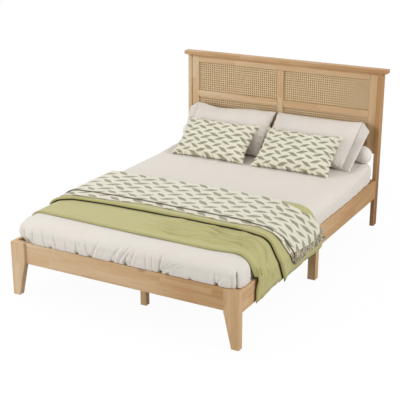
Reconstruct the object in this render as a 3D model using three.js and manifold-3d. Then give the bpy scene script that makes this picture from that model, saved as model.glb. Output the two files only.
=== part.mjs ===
import * as THREE from 'three';
import { mergeGeometries, mergeVertices } from 'three/addons/utils/BufferGeometryUtils.js';
import Module from 'manifold-3d';

// A wooden double bed with a cane headboard, made up with a mattress, bolster, two pillows,
// two patterned cushions, a folded quilt and a woven throw.
// Millimetres, +Z up. The head is towards +Y, and the origin is on the floor under the middle.

// Gaps between pieces
const seatGap = 0.3;
const mattressSideGap = 3;
const mattressEndGap = 6;
const slatEndGap = 3;
const liftGap = 5;

// Mattress
const mattressWidth = 1400;
const mattressLength = 2000;
const mattressHeight = 200;
const mattressShoulder = 80;
const mattressBottomRound = 18;
const mattressCorner = 90;

// Foot, side and head rails
const railThickness = 22;
const railBottom = 200;
const railHeight = 125;
const footRailSetback = 14;
const edgeEase = 2;

// Legs
const footLegDepth = 38;
const footLegWidth = 90;
const footLegToe = 43;
const sideLegWidth = 48;
const sideLegSetback = 1009;
const centreLegWidth = 38;
const centreLegShift = 12;
const centreLegSetbacks = { foot: 227, middle: 1030, head: 1830 };

// Headboard
const postWidth = 28;
const postDepth = 60;
const postHeight = 1055;
const capThickness = 25;
const capOverhang = 28;
const capNosing = 5;
const panelRecess = 8;
const panelThickness = 24;
const stileWidth = 55;
const topRailHeight = 50;
const upperCaneHeight = 205;
const midRailHeight = 45;
const lowerCaneHeight = 195;
const bottomRailHeight = 50;
const mullionWidth = 45;
const backBoardThickness = 4;
const backBoardInset = 6;

// Cane
const caneLip = 9;
const caneTuck = 9;
const caneThickness = 3;
const caneStrand = 15;
const caneGapsAcross = 12;
const caneGapsUp = 4;

// Slats and what carries them
const slatCount = 13;
const slatWidth = 75;
const slatThickness = 15;
const ledgeWidth = 25;
const ledgeHeight = 30;
const beamWidth = 45;
const beamHeight = 42;
const mattressSink = 63;

// Steel corner brackets and beam hangers
const bracketArm = 60;
const bracketHeight = 38;
const bracketThickness = 3;
const bracketLift = 4;
const boltHeadRadius = 7;
const boltHeadHeight = 4;
const boltInset = 10;
const hangerReach = 30;
const hangerCheek = 34;

// Bolster, pillows and cushions
const bolsterRadius = 57;
const bolsterLength = 1370;
const bolsterShift = -18;
const bolsterRound = 26;
const pillow = { width: 615, height: 385, crown: 66, rim: 4, drawIn: 0.035, lean: 41.5 };
const pillowHem = { width: 52, thickness: 8, drop: 42, overlap: 14, inset: 8 };
const pillowGap = 6;
const pillowShift = 12;
const cushion = { width: 545, height: 325, crown: 47, rim: 3, drawIn: 0.045, lean: 38 };
const cushionSpacing = 602;

// Quilt: one layer at its foot edge, folded back on itself further up
const quiltSheet = 10;
const quiltFold = 21;
const quiltFootSetback = 137;
const quiltFoldSetback = 396;
const quiltHeadSetback = 956;
const quiltHem = { foot: 205, beforeFold: 238, fold: 185, head: 166 };

// Throw: a doubled cloth over the quilt, its upper layer set back a little
const throwSheet = 5;
const throwFootSetback = 462;
const throwUpperSetback = 531;
const throwHeadSetback = 948;
const throwHem = { foot: 268, head: 250 };
const throwSlack = 3;

// The cloths hang over the right rail, and end part of the way round the mattress's left
// shoulder. Drift is how far their edges run towards the head by the foot of a drop, or by the
// left end: first for the quilt's foot edge, then for all edges further up.
const clothDrop = 155;
const rightDrift = [34, 112];
const leftDrift = [22, -48];
const driftOverShoulder = 0.4;
const leftDriftStart = 480;
const leftTurn = 60;
const clothWave = 7;
const clothWaveLength = 210;

// Overall frame, worked out from the mattress
const innerHalf = mattressWidth / 2 + mattressSideGap;
const outerHalf = innerHalf + railThickness;
const innerLength = mattressLength + 2 * mattressEndGap;
const bedLength = footLegDepth + innerLength + postDepth;
const footFace = -bedLength / 2;
const innerFoot = footFace + footLegDepth;
const innerHead = innerFoot + innerLength;
const headBack = innerHead + postDepth;
const railTop = railBottom + railHeight;
const slatTop = railTop - mattressSink;
const slatBottom = slatTop - slatThickness;
const mattressBottom = slatTop + seatGap;
const mattressTop = mattressBottom + mattressHeight;
const capFront = innerHead - capNosing;

const finishes = {
  wood: new THREE.MeshStandardMaterial({ color: 0xcfa877, roughness: 0.55, metalness: 0 }),
  plainWood: new THREE.MeshStandardMaterial({ color: 0xd8bb8e, roughness: 0.7, metalness: 0 }),
  cane: new THREE.MeshStandardMaterial({ color: 0xc99c5f, roughness: 0.6, metalness: 0 }),
  backBoard: new THREE.MeshStandardMaterial({ color: 0x9b7a50, roughness: 0.8, metalness: 0 }),
  steel: new THREE.MeshStandardMaterial({ color: 0x4b4d50, roughness: 0.4, metalness: 0.9 }),
  sheet: new THREE.MeshStandardMaterial({ color: 0xe2ddd6, roughness: 0.9, metalness: 0 }),
  patterned: new THREE.MeshStandardMaterial({ color: 0xcfd0b8, roughness: 0.9, metalness: 0 }),
  quilt: new THREE.MeshStandardMaterial({ color: 0xb3b873, roughness: 0.85, metalness: 0 }),
  throwCloth: new THREE.MeshStandardMaterial({ color: 0xd3d3bd, roughness: 0.95, metalness: 0 }),
};

const bed = new THREE.Group();

function add(name, geometry, finish, x = 0, y = 0, z = 0) {
  const mesh = new THREE.Mesh(geometry, finishes[finish].clone());
  mesh.name = name;
  mesh.position.set(x, y, z);
  bed.add(mesh);
  return mesh;
}

// Solids that are joined or cut
const wasm = await Module();
wasm.setup();

function toSolid(geometry) {
  const bare = geometry.clone();
  bare.deleteAttribute('normal');
  bare.deleteAttribute('uv');
  const merged = mergeVertices(bare, 1e-4);
  return new wasm.Manifold(new wasm.Mesh({
    numProp: 3,
    vertProperties: new Float32Array(merged.attributes.position.array),
    triVerts: new Uint32Array(merged.index.array),
  }));
}

function toGeometry(solid) {
  const mesh = solid.getMesh();
  const geometry = new THREE.BufferGeometry();
  geometry.setAttribute('position', new THREE.BufferAttribute(mesh.vertProperties, 3));
  geometry.setIndex(new THREE.BufferAttribute(mesh.triVerts, 1));
  geometry.computeVertexNormals();
  return geometry;
}

const join = (...geometries) => toGeometry(geometries.map(toSolid).reduce((a, b) => a.add(b)));

// A straight piece with one section all along. The section's points are [y, z] along x,
// [x, z] along y and [x, y] along z, and the piece starts at 0 and runs the positive way.
function prism(axis, section, length) {
  const shape = new THREE.Shape(section.map(([a, b]) => new THREE.Vector2(a, b)));
  const geometry = new THREE.ExtrudeGeometry(shape, { depth: length, bevelEnabled: false });
  const turn = new THREE.Matrix4();
  const [xAxis, yAxis, zAxis] = [[1, 0, 0], [0, 1, 0], [0, 0, 1]].map((v) => new THREE.Vector3(...v));
  if (axis === 'x') turn.makeBasis(yAxis, zAxis, xAxis);
  if (axis === 'y') {
    turn.makeBasis(xAxis, zAxis, yAxis.clone().negate());
    geometry.translate(0, 0, -length);
  }
  return geometry.applyMatrix4(turn);
}

const rectangle = ([a0, a1], [b0, b1]) => [[a0, b0], [a1, b0], [a1, b1], [a0, b1]];

// The same rectangle with its corners planed off
function easedRectangle([a0, a1], [b0, b1], ease = edgeEase) {
  return [
    [a0 + ease, b0], [a1 - ease, b0], [a1, b0 + ease], [a1, b1 - ease],
    [a1 - ease, b1], [a0 + ease, b1], [a0, b1 - ease], [a0, b0 + ease],
  ];
}

// A board between two values along each axis, its long edges eased
function board(x, y, z, along, ease = edgeEase) {
  const spans = { x, y, z };
  const [a, b] = { x: [y, z], y: [x, z], z: [x, y] }[along];
  const [low, high] = spans[along];
  const section = ease > 0 ? easedRectangle(a, b, ease) : rectangle(a, b);
  const geometry = prism(along, section, high - low);
  return geometry.translate(...['x', 'y', 'z'].map((axis) => (axis === along ? low : 0)));
}

const mirrored = (side, low, high) => (side > 0 ? [low, high] : [-high, -low]);
const sides = [['left', -1], ['right', 1]];

// Headboard
const postInner = outerHalf - postWidth;
const panelFront = innerHead + panelRecess;
const panelBack = panelFront + panelThickness;
const stileInner = postInner - seatGap - stileWidth;
const upperCaneTop = postHeight - topRailHeight;
const upperCaneBottom = upperCaneTop - upperCaneHeight;
const lowerCaneTop = upperCaneBottom - midRailHeight;
const lowerCaneBottom = lowerCaneTop - lowerCaneHeight;
const panelBottom = lowerCaneBottom - bottomRailHeight;
const mullionHalf = mullionWidth / 2;
const openings = sides.flatMap(([name, side]) => [
  { name: `upper_${name}`, x: mirrored(side, mullionHalf, stileInner), z: [upperCaneBottom, upperCaneTop] },
  { name: `lower_${name}`, x: mirrored(side, mullionHalf, stileInner), z: [lowerCaneBottom, lowerCaneTop] },
]);

// Each opening has a rebate behind it, in which the cane lies against a lip
const caneSpan = ([low, high], tuck) => [low - tuck, high + tuck];
const rebates = openings.map(({ x, z }) => board(
  caneSpan(x, caneTuck + 2 * seatGap),
  [panelFront + caneLip, panelBack + 1],
  caneSpan(z, caneTuck + 2 * seatGap),
  'z',
  0,
));
const rebated = (geometry) => toGeometry(
  rebates.map(toSolid).reduce((piece, cut) => piece.subtract(cut), toSolid(geometry)),
);

function buildHeadboard() {
  const panelDepths = [panelFront, panelBack];
  const postDepths = [innerHead, headBack];
  const underCap = postHeight - seatGap;
  for (const [name, side] of sides) {
    const post = board(mirrored(side, postInner, outerHalf), postDepths, [0, underCap], 'z');
    add(`headboard_post_${name}`, post, 'wood');
    const stileSpan = mirrored(side, stileInner, postInner - seatGap);
    const stile = board(stileSpan, panelDepths, [panelBottom, underCap], 'z');
    add(`headboard_stile_${name}`, rebated(stile), 'wood');
    const midSpan = mirrored(side, mullionHalf + seatGap, stileInner - seatGap);
    const midRail = board(midSpan, panelDepths, [lowerCaneTop, upperCaneBottom], 'x');
    add(`headboard_mid_rail_${name}`, rebated(midRail), 'wood');
  }
  const capSpan = [-outerHalf - capOverhang, outerHalf + capOverhang];
  const capRise = [postHeight, postHeight + capThickness];
  add('headboard_cap', board(capSpan, [capFront, headBack], capRise, 'x'), 'wood');
  const railSpan = [-stileInner + seatGap, stileInner - seatGap];
  const topRail = board(railSpan, panelDepths, [upperCaneTop, underCap], 'x');
  add('headboard_top_rail', rebated(topRail), 'wood');
  const bottomRail = board(railSpan, panelDepths, [panelBottom, lowerCaneBottom], 'x');
  add('headboard_bottom_rail', rebated(bottomRail), 'wood');
  const mullionRise = [lowerCaneBottom + seatGap, upperCaneTop - seatGap];
  const mullion = board([-mullionHalf, mullionHalf], panelDepths, mullionRise, 'z');
  add('headboard_mullion', rebated(mullion), 'wood');
  for (const opening of openings) {
    add(`cane_panel_${opening.name}`, canePanel(opening), 'cane');
  }
  const boardReach = postInner - seatGap - backBoardInset;
  const boardDepths = [panelBack + seatGap, panelBack + seatGap + backBoardThickness];
  const boardRise = [panelBottom + backBoardInset, postHeight - backBoardInset];
  const backBoard = board([-boardReach, boardReach], boardDepths, boardRise, 'z', 0);
  add('headboard_back_board', backBoard, 'backBoard');
}

// A flat net: bands of woven cane round square gaps, tucked behind the lip all round
function canePanel({ x, z }) {
  const [x0, x1] = x;
  const [z0, z1] = z;
  const pitchAcross = (x1 - x0 - caneStrand) / caneGapsAcross;
  const pitchUp = (z1 - z0 - caneStrand) / caneGapsUp;
  const faceY = panelFront + caneLip + seatGap;
  const gaps = [];
  for (let i = 0; i < caneGapsAcross; i += 1) {
    for (let j = 0; j < caneGapsUp; j += 1) {
      const across = [x0 + caneStrand + i * pitchAcross, x0 + (i + 1) * pitchAcross];
      const up = [z0 + caneStrand + j * pitchUp, z0 + (j + 1) * pitchUp];
      gaps.push(board(across, [faceY - 1, faceY + caneThickness + 1], up, 'z', 0));
    }
  }
  const sheet = board(caneSpan(x, caneTuck), [faceY, faceY + caneThickness], caneSpan(z, caneTuck), 'z', 0);
  return toGeometry(toSolid(sheet).subtract(toSolid(mergeGeometries(gaps))));
}

// Bed frame
const slatLedgeTop = slatBottom - seatGap;
const beamBottom = slatLedgeTop - beamHeight;

function footLegSection(side) {
  return [
    [side * (outerHalf - footLegToe), 0],
    [side * outerHalf, 0],
    [side * outerHalf, railTop - edgeEase],
    [side * (outerHalf - edgeEase), railTop],
    [side * (outerHalf - footLegWidth + edgeEase), railTop],
    [side * (outerHalf - footLegWidth), railTop - edgeEase],
    [side * (outerHalf - footLegWidth), railBottom],
  ];
}

// A leg under the side rail, its inner part reaching up beside the rail to the slat ledge
function sideLegSection(side) {
  const ledgeBottom = slatLedgeTop - ledgeHeight;
  return [
    [side * (outerHalf - sideLegWidth), 0],
    [side * outerHalf, 0],
    [side * outerHalf, railBottom - seatGap],
    [side * (innerHalf - seatGap), railBottom - seatGap],
    [side * (innerHalf - seatGap), ledgeBottom - seatGap],
    [side * (outerHalf - sideLegWidth), ledgeBottom - seatGap],
  ];
}

function buildFrame() {
  const railZ = [railBottom, railTop];
  const ledgeFoot = innerFoot + seatGap + bracketArm + liftGap;
  const ledgeHead = innerHead - seatGap - bracketArm - liftGap;
  for (const [name, side] of sides) {
    const footLeg = prism('y', footLegSection(side), footLegDepth);
    add(`foot_leg_${name}`, footLeg, 'wood', 0, footFace);
    const railX = mirrored(side, innerHalf, outerHalf);
    const railY = [innerFoot + seatGap, innerHead - seatGap];
    add(`side_rail_${name}`, board(railX, railY, railZ, 'y'), 'wood');
    const ledgeX = mirrored(side, innerHalf - seatGap - ledgeWidth, innerHalf - seatGap);
    const ledgeZ = [slatLedgeTop - ledgeHeight, slatLedgeTop];
    add(`slat_ledge_${name}`, board(ledgeX, [ledgeFoot, ledgeHead], ledgeZ, 'y'), 'plainWood');
    const sideLeg = prism('y', sideLegSection(side), sideLegWidth);
    add(`side_leg_${name}`, sideLeg, 'wood', 0, footFace + sideLegSetback);
  }
  const footRailX = outerHalf - footLegWidth - seatGap;
  const footRailY = [footFace + footRailSetback, footFace + footRailSetback + railThickness];
  add('foot_rail', board([-footRailX, footRailX], footRailY, railZ, 'x'), 'wood');
  const headRailX = postInner - seatGap;
  const headRailY = [innerHead, innerHead + railThickness];
  add('head_cross_rail', board([-headRailX, headRailX], headRailY, railZ, 'x'), 'wood');

  const beamFoot = footRailY[1] + seatGap;
  const beamHead = innerHead - seatGap;
  const hangerPlate = bracketThickness + seatGap;
  const beamHalf = beamWidth / 2;
  const beamY = [beamFoot + hangerPlate, beamHead - hangerPlate];
  add('centre_beam', board([-beamHalf, beamHalf], beamY, [beamBottom, slatLedgeTop], 'y'), 'plainWood');
  add('beam_hanger_foot', beamHanger(1), 'steel', 0, beamFoot, beamBottom);
  add('beam_hanger_head', beamHanger(-1), 'steel', 0, beamHead, beamBottom);
  for (const [name, setback] of Object.entries(centreLegSetbacks)) {
    const legX = [centreLegShift - centreLegWidth / 2, centreLegShift + centreLegWidth / 2];
    const legY = [footFace + setback, footFace + setback + centreLegWidth];
    add(`centre_leg_${name}`, board(legX, legY, [0, beamBottom - seatGap], 'z'), 'wood');
  }

  const slatHalf = innerHalf - slatEndGap;
  const slatPitch = (ledgeHead - ledgeFoot - slatWidth) / (slatCount - 1);
  for (let i = 0; i < slatCount; i += 1) {
    const start = ledgeFoot + i * slatPitch;
    const slat = board([-slatHalf, slatHalf], [start, start + slatWidth], [slatBottom, slatTop], 'x');
    add(`slat_${String(i + 1).padStart(2, '0')}`, slat, 'plainWood');
  }

  const bracketZ = railBottom + bracketLift;
  for (const [name, side] of sides) {
    const atFoot = cornerBracket(side, 1);
    add(`corner_bracket_foot_${name}`, atFoot, 'steel', 0, innerFoot + seatGap, bracketZ);
    const atHead = cornerBracket(side, -1);
    add(`corner_bracket_head_${name}`, atHead, 'steel', 0, innerHead - seatGap, bracketZ);
  }
}

// A steel channel under the beam's end, on a plate against the rail; way is +1 at the foot
function beamHanger(way) {
  const halfGap = beamWidth / 2 + seatGap;
  const half = halfGap + bracketThickness;
  const floorTop = -seatGap;
  const floorBottom = floorTop - bracketThickness;
  const channel = [
    [-half, floorBottom], [half, floorBottom], [half, hangerCheek], [halfGap, hangerCheek],
    [halfGap, floorTop], [-halfGap, floorTop], [-halfGap, hangerCheek], [-half, hangerCheek],
  ];
  const cheeks = prism('y', channel, hangerReach);
  const plate = board([-half, half], [0, bracketThickness], [floorBottom, hangerCheek], 'x', 0);
  const geometry = join(cheeks, plate);
  return way > 0 ? geometry : geometry.rotateZ(Math.PI);
}

// An angle bracket inside a corner of the frame, with four bolt heads; way is +1 at the foot
function cornerBracket(side, way) {
  const corner = innerHalf - seatGap;
  const plan = [
    [0, 0], [-bracketArm, 0], [-bracketArm, bracketThickness], [-bracketThickness, bracketThickness],
    [-bracketThickness, bracketArm], [0, bracketArm],
  ].map(([a, b]) => [side * (corner + a), way * b]);
  const pieces = [prism('z', plan, bracketHeight)];
  const headLength = boltHeadHeight + bracketThickness / 2;
  const headMiddle = bracketThickness / 2 + headLength / 2;
  const boltHead = () => new THREE.CylinderGeometry(boltHeadRadius, boltHeadRadius, headLength, 6);
  for (const z of [boltInset, bracketHeight - boltInset]) {
    const onRail = boltHead().rotateZ(Math.PI / 2);
    pieces.push(onRail.translate(side * (corner - headMiddle), (way * bracketArm) / 2, z));
    pieces.push(boltHead().translate(side * (corner - bracketArm / 2), way * headMiddle, z));
  }
  return join(...pieces);
}

// Closed surfaces for the soft pieces

// A mesh from a grid of points on each face of a sheet, closed by a wall round its edge.
// Both grids are [across][along], and the first one is the underside or back.
function closedSheet(under, over) {
  const rows = under.length;
  const columns = under[0].length;
  const last = columns - 1;
  const positions = [...under.flat(), ...over.flat()].flat();
  const index = [];
  const at = (face, i, j) => face * rows * columns + i * columns + j;
  const quad = (a, b, c, d) => index.push(a, b, c, a, c, d);
  for (let i = 0; i + 1 < rows; i += 1) {
    for (let j = 0; j + 1 < columns; j += 1) {
      quad(at(1, i, j), at(1, i + 1, j), at(1, i + 1, j + 1), at(1, i, j + 1));
      quad(at(0, i, j), at(0, i, j + 1), at(0, i + 1, j + 1), at(0, i + 1, j));
    }
  }
  for (let i = 0; i + 1 < rows; i += 1) {
    quad(at(0, i, 0), at(0, i + 1, 0), at(1, i + 1, 0), at(1, i, 0));
    quad(at(0, i + 1, last), at(0, i, last), at(1, i, last), at(1, i + 1, last));
  }
  for (let j = 0; j + 1 < columns; j += 1) {
    quad(at(0, 0, j + 1), at(0, 0, j), at(1, 0, j), at(1, 0, j + 1));
    quad(at(0, rows - 1, j), at(0, rows - 1, j + 1), at(1, rows - 1, j + 1), at(1, rows - 1, j));
  }
  return meshOf(positions, index);
}

function meshOf(positions, index) {
  const geometry = new THREE.BufferGeometry();
  geometry.setAttribute('position', new THREE.Float32BufferAttribute(positions, 3));
  geometry.setIndex(index);
  geometry.computeVertexNormals();
  return geometry;
}

// Loops of the same number of points, joined one to the next and capped at both ends
function lofted(loops) {
  const count = loops[0].length;
  const positions = loops.flat(2);
  const index = [];
  for (let i = 0; i + 1 < loops.length; i += 1) {
    for (let j = 0; j < count; j += 1) {
      const k = (j + 1) % count;
      index.push(i * count + j, i * count + k, (i + 1) * count + k);
      index.push(i * count + j, (i + 1) * count + k, (i + 1) * count + j);
    }
  }
  for (const [loop, start] of [[loops[0], 0], [loops.at(-1), (loops.length - 1) * count]]) {
    const centre = positions.length / 3;
    for (const axis of [0, 1, 2]) positions.push(loop.reduce((sum, p) => sum + p[axis], 0) / count);
    for (let j = 0; j < count; j += 1) {
      const k = (j + 1) % count;
      index.push(centre, ...(start === 0 ? [k, j] : [start + j, start + k]));
    }
  }
  return meshOf(positions, index);
}

// Mattress: a rounded oblong whose outline draws in over the shoulder
function mattressGeometry() {
  const cornerSteps = 5;
  const shoulderSteps = 4;
  const loopAt = (inset, z) => {
    const halfX = mattressWidth / 2 - inset;
    const halfY = mattressLength / 2 - inset;
    const loop = [];
    for (let corner = 0; corner < 4; corner += 1) {
      const signX = corner === 0 || corner === 3 ? 1 : -1;
      const signY = corner < 2 ? 1 : -1;
      for (let step = 0; step <= cornerSteps; step += 1) {
        const angle = (corner + step / cornerSteps) * (Math.PI / 2);
        const x = signX * (halfX - mattressCorner) + mattressCorner * Math.cos(angle);
        const y = signY * (halfY - mattressCorner) + mattressCorner * Math.sin(angle);
        loop.push([x, y, z]);
      }
    }
    return loop;
  };
  const loops = [loopAt(mattressBottomRound, 0), loopAt(0, mattressBottomRound)];
  for (let step = 0; step <= shoulderSteps; step += 1) {
    const angle = (step / shoulderSteps) * (Math.PI / 2);
    const inset = mattressShoulder * (1 - Math.cos(angle));
    loops.push(loopAt(inset, mattressHeight - mattressShoulder * (1 - Math.sin(angle))));
  }
  return lofted(loops);
}

// Pillow or cushion lying flat: two crowned faces with a thin seam, its sides drawn in
// between the corners. Half the thickness is rim + crown fade(u) fade(v), where fade(t) is
// (1 - |t|^squareness)^fullness.
const padSteps = { across: 14, up: 10 };
const padSquareness = 2.6;
const padFullness = 0.6;
const padFade = (t) => Math.max(0, 1 - Math.abs(t) ** padSquareness) ** padFullness;
const padStep = (i, count) => Math.sin((i / count - 0.5) * Math.PI);

function padPoint(pad, u, v, face) {
  return [
    (pad.width / 2) * u * (1 - pad.drawIn * (1 - v * v)),
    (pad.height / 2) * v * (1 - pad.drawIn * (1 - u * u)),
    face * (pad.rim + pad.crown * padFade(u) * padFade(v)),
  ];
}

function padGeometry(pad) {
  const grid = (face) => Array.from({ length: padSteps.across + 1 }, (_, i) => (
    Array.from({ length: padSteps.up + 1 }, (__, j) => (
      padPoint(pad, padStep(i, padSteps.across), padStep(j, padSteps.up), face)
    ))
  ));
  return closedSheet(grid(-1), grid(1));
}

// The pad's middle section leaned back on its lower edge, as [y, z] with its lowest point at 0
function leanedSection(pad) {
  const lean = THREE.MathUtils.degToRad(pad.lean);
  const side = (face) => Array.from({ length: padSteps.up + 1 }, (_, j) => {
    const [, y, z] = padPoint(pad, 0, padStep(j, padSteps.up), face);
    return [y * Math.cos(lean) - z * Math.sin(lean), y * Math.sin(lean) + z * Math.cos(lean)];
  });
  const outline = [...side(-1), ...side(1).reverse()];
  const low = Math.min(...outline.map(([, z]) => z));
  return { outline: outline.map(([y, z]) => [y, z - low]), centreHeight: -low };
}

// How far one outline can travel towards +Y before it meets another. Both are lists of
// [y, z], and the first touch is always level with a corner of one of them.
function travelToTouch(moving, fixed) {
  const crossings = (outline, z) => outline.flatMap(([y0, z0], i) => {
    const [y1, z1] = outline[(i + 1) % outline.length];
    const outside = z0 === z1 || Math.min(z0, z1) > z || Math.max(z0, z1) < z;
    return outside ? [] : [y0 + ((y1 - y0) * (z - z0)) / (z1 - z0)];
  });
  const travels = [...moving, ...fixed].map(([, z]) => (
    Math.min(...crossings(fixed, z)) - Math.max(...crossings(moving, z))
  ));
  return Math.min(...travels.filter(Number.isFinite));
}

const shifted = (outline, dy) => outline.map(([y, z]) => [y + dy, z]);

function buildBedding() {
  const bedTop = mattressTop + seatGap;
  const mattressY = (innerFoot + innerHead) / 2;
  add('mattress', mattressGeometry(), 'sheet', 0, mattressY, mattressBottom);

  // Bolster along the head, clear of the cap so that everything lifts straight off
  const roundSteps = 3;
  const rounded = Array.from({ length: roundSteps + 1 }, (_, i) => {
    const angle = (i / roundSteps) * (Math.PI / 2);
    const r = bolsterRadius - bolsterRound * (1 - Math.cos(angle));
    return [r, bolsterLength / 2 - bolsterRound * (1 - Math.sin(angle))];
  });
  const upperHalf = [...rounded, [0, bolsterLength / 2]];
  const profile = [...upperHalf.map(([r, h]) => [r, -h]).reverse(), ...upperHalf];
  const bolsterSides = 20;
  const points = profile.map(([r, h]) => new THREE.Vector2(r, h));
  const bolster = new THREE.LatheGeometry(points, bolsterSides);
  const bolsterY = capFront - liftGap - bolsterRadius;
  add('bolster', bolster.rotateZ(-Math.PI / 2), 'sheet', bolsterShift, bolsterY, bedTop + bolsterRadius);
  const bolsterSection = Array.from({ length: bolsterSides }, (_, i) => {
    const angle = (i / bolsterSides) * 2 * Math.PI;
    return [bolsterY + bolsterRadius * Math.cos(angle), bolsterRadius + bolsterRadius * Math.sin(angle)];
  });

  // Pillows lean on the bolster, and each cushion leans on its pillow
  const pillowSide = leanedSection(pillow);
  const pillowY = travelToTouch(pillowSide.outline, bolsterSection) - seatGap;
  const cushionSide = leanedSection(cushion);
  const cushionY = travelToTouch(cushionSide.outline, shifted(pillowSide.outline, pillowY)) - seatGap;
  for (const [name, side] of sides) {
    const pillowX = pillowShift + (side * (pillow.width + pillowGap)) / 2;
    const pillowMesh = add(`pillow_${name}`, join(padGeometry(pillow), hemGeometry(side)), 'sheet');
    pillowMesh.position.set(pillowX, pillowY, bedTop + pillowSide.centreHeight);
    pillowMesh.rotation.x = THREE.MathUtils.degToRad(pillow.lean);
    const cushionMesh = add(`cushion_${name}`, padGeometry(cushion), 'patterned');
    cushionMesh.position.set((side * cushionSpacing) / 2, cushionY, bedTop + cushionSide.centreHeight);
    cushionMesh.rotation.x = THREE.MathUtils.degToRad(cushion.lean);
  }
}

// The open hem at a pillow's outer end, a flat flap whose upper corner droops
function hemGeometry(side) {
  const inner = pillow.width / 2 - pillowHem.overlap;
  const outer = pillow.width / 2 + pillowHem.width;
  const top = pillow.height / 2 - pillowHem.inset;
  const plan = [[inner, -top], [outer, -top], [outer, top - pillowHem.drop], [inner, top]];
  const flap = prism('z', plan.map(([x, y]) => [side * x, y]), pillowHem.thickness);
  return flap.translate(0, 0, -pillowHem.thickness / 2);
}

// Quilt and throw

// The line across one half of the bed that the quilt's underside follows: flat, round the
// mattress's shoulder, and on the right taut to the rail's upper edge. It comes with the
// outward direction beyond its end. The round is drawn just outside its arc, so that its
// chords clear the mattress.
const flatEnd = mattressWidth / 2 - mattressShoulder;
function drapeLine(side) {
  const flatSteps = 5;
  const turnSteps = 4;
  const centreZ = mattressTop - mattressShoulder;
  const radius = mattressShoulder + seatGap;
  const toRail = [outerHalf + seatGap - flatEnd, railTop + edgeEase - centreZ];
  const railTangent = Math.atan2(toRail[1], toRail[0]) + Math.acos(radius / Math.hypot(...toRail));
  const last = side > 0 ? railTangent : THREE.MathUtils.degToRad(90 - leftTurn);
  const lastNormal = [Math.cos(last), Math.sin(last)];
  const end = side > 0 ? toRail : lastNormal.map((value) => radius * value);
  const step = (Math.PI / 2 - last) / turnSteps;
  const line = [];
  for (let i = 0; i < flatSteps; i += 1) line.push([(i / flatSteps) * flatEnd, centreZ + radius]);
  for (let i = 0; i < turnSteps; i += 1) {
    const angle = Math.PI / 2 - (i + 0.5) * step;
    const out = radius / Math.cos(step / 2);
    line.push([flatEnd + out * Math.cos(angle), centreZ + out * Math.sin(angle)]);
  }
  line.push([flatEnd + end[0], centreZ + end[1]]);
  return { line, beyond: side > 0 ? [1, 0] : lastNormal };
}

// The same line moved outwards by a thickness, each straight stretch staying parallel
function offsetLine({ line, beyond }, thickness) {
  const normals = line.slice(1).map(([x, z], i) => {
    const [dx, dz] = [x - line[i][0], z - line[i][1]];
    const length = Math.hypot(dx, dz);
    return [-dz / length, dx / length];
  });
  return line.map(([x, z], i) => {
    const a = normals[Math.max(i - 1, 0)];
    const b = i < normals.length ? normals[i] : beyond;
    const scale = thickness / (1 + a[0] * b[0] + a[1] * b[1]);
    return [x + (a[0] + b[0]) * scale, z + (a[1] + b[1]) * scale];
  });
}

const ramp = (value, low, high) => THREE.MathUtils.smoothstep(value, low, high);
const mix = THREE.MathUtils.lerp;

// One crosswise row of a cloth at a setback from the bed's foot. The edges drift as the cloth
// turns down, and the hanging part swings out in shallow waves, beyond a slack of its own. On
// the right the row hangs to each of the given heights in turn.
function clothRow(setback, thickness, heights, slack) {
  const upTheBed = ramp(setback, quiltFootSetback, quiltFoldSetback);
  const left = offsetLine(drapeLine(-1), thickness).map(([x, z]) => {
    const drift = mix(...leftDrift, upTheBed) * ramp(x, leftDriftStart, outerHalf);
    return [-x, footFace + setback + drift, z];
  });
  const right = offsetLine(drapeLine(1), thickness).map(([x, z]) => ({ x, z, hang: 0 }));
  const edge = right.at(-1);
  for (const height of heights) {
    const above = right.at(-1).z;
    for (const z of [(above + height) / 2, height]) {
      right.push({ x: edge.x, z, hang: (edge.z - z) / clothDrop });
    }
  }
  const reach = mix(...rightDrift, upTheBed);
  const rightRow = right.map(({ x, z, hang }) => {
    const turn = mix(hang, ramp(x, flatEnd, edge.x), driftOverShoulder);
    const y = footFace + setback + reach * turn;
    const wave = (clothWave / 2) * (1 + Math.sin((2 * Math.PI * y) / clothWaveLength));
    return [x + (slack + wave) * hang, y, z];
  });
  return [...left.reverse(), ...rightRow.slice(1)];
}

// Rows are [setback, thickness, heights]; the grids run across the bed, then along it
function clothGeometry(rows, underThickness, slack) {
  const under = rows.map(([setback, , heights]) => (
    clothRow(setback, underThickness, heights, slack)
  ));
  const over = rows.map(([setback, thickness, heights]) => (
    clothRow(setback, underThickness + thickness, heights, slack)
  ));
  const across = (grid) => grid[0].map((_, i) => grid.map((row) => row[i]));
  return closedSheet(across(under), across(over));
}

// A value that runs evenly from one setback to another, and stays level past either end
const between = (setback, [from, to], [low, high]) => (
  mix(low, high, THREE.MathUtils.clamp((setback - from) / (to - from), 0, 1))
);

function quiltHemAt(setback) {
  if (setback < quiltFoldSetback) {
    return between(setback, [quiltFootSetback, quiltFoldSetback], [quiltHem.foot, quiltHem.beforeFold]);
  }
  return between(setback, [quiltFoldSetback, quiltHeadSetback], [quiltHem.fold, quiltHem.head]);
}

const throwHemAt = (setback) => (
  between(setback, [throwFootSetback, throwHeadSetback], [throwHem.foot, throwHem.head])
);

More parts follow.
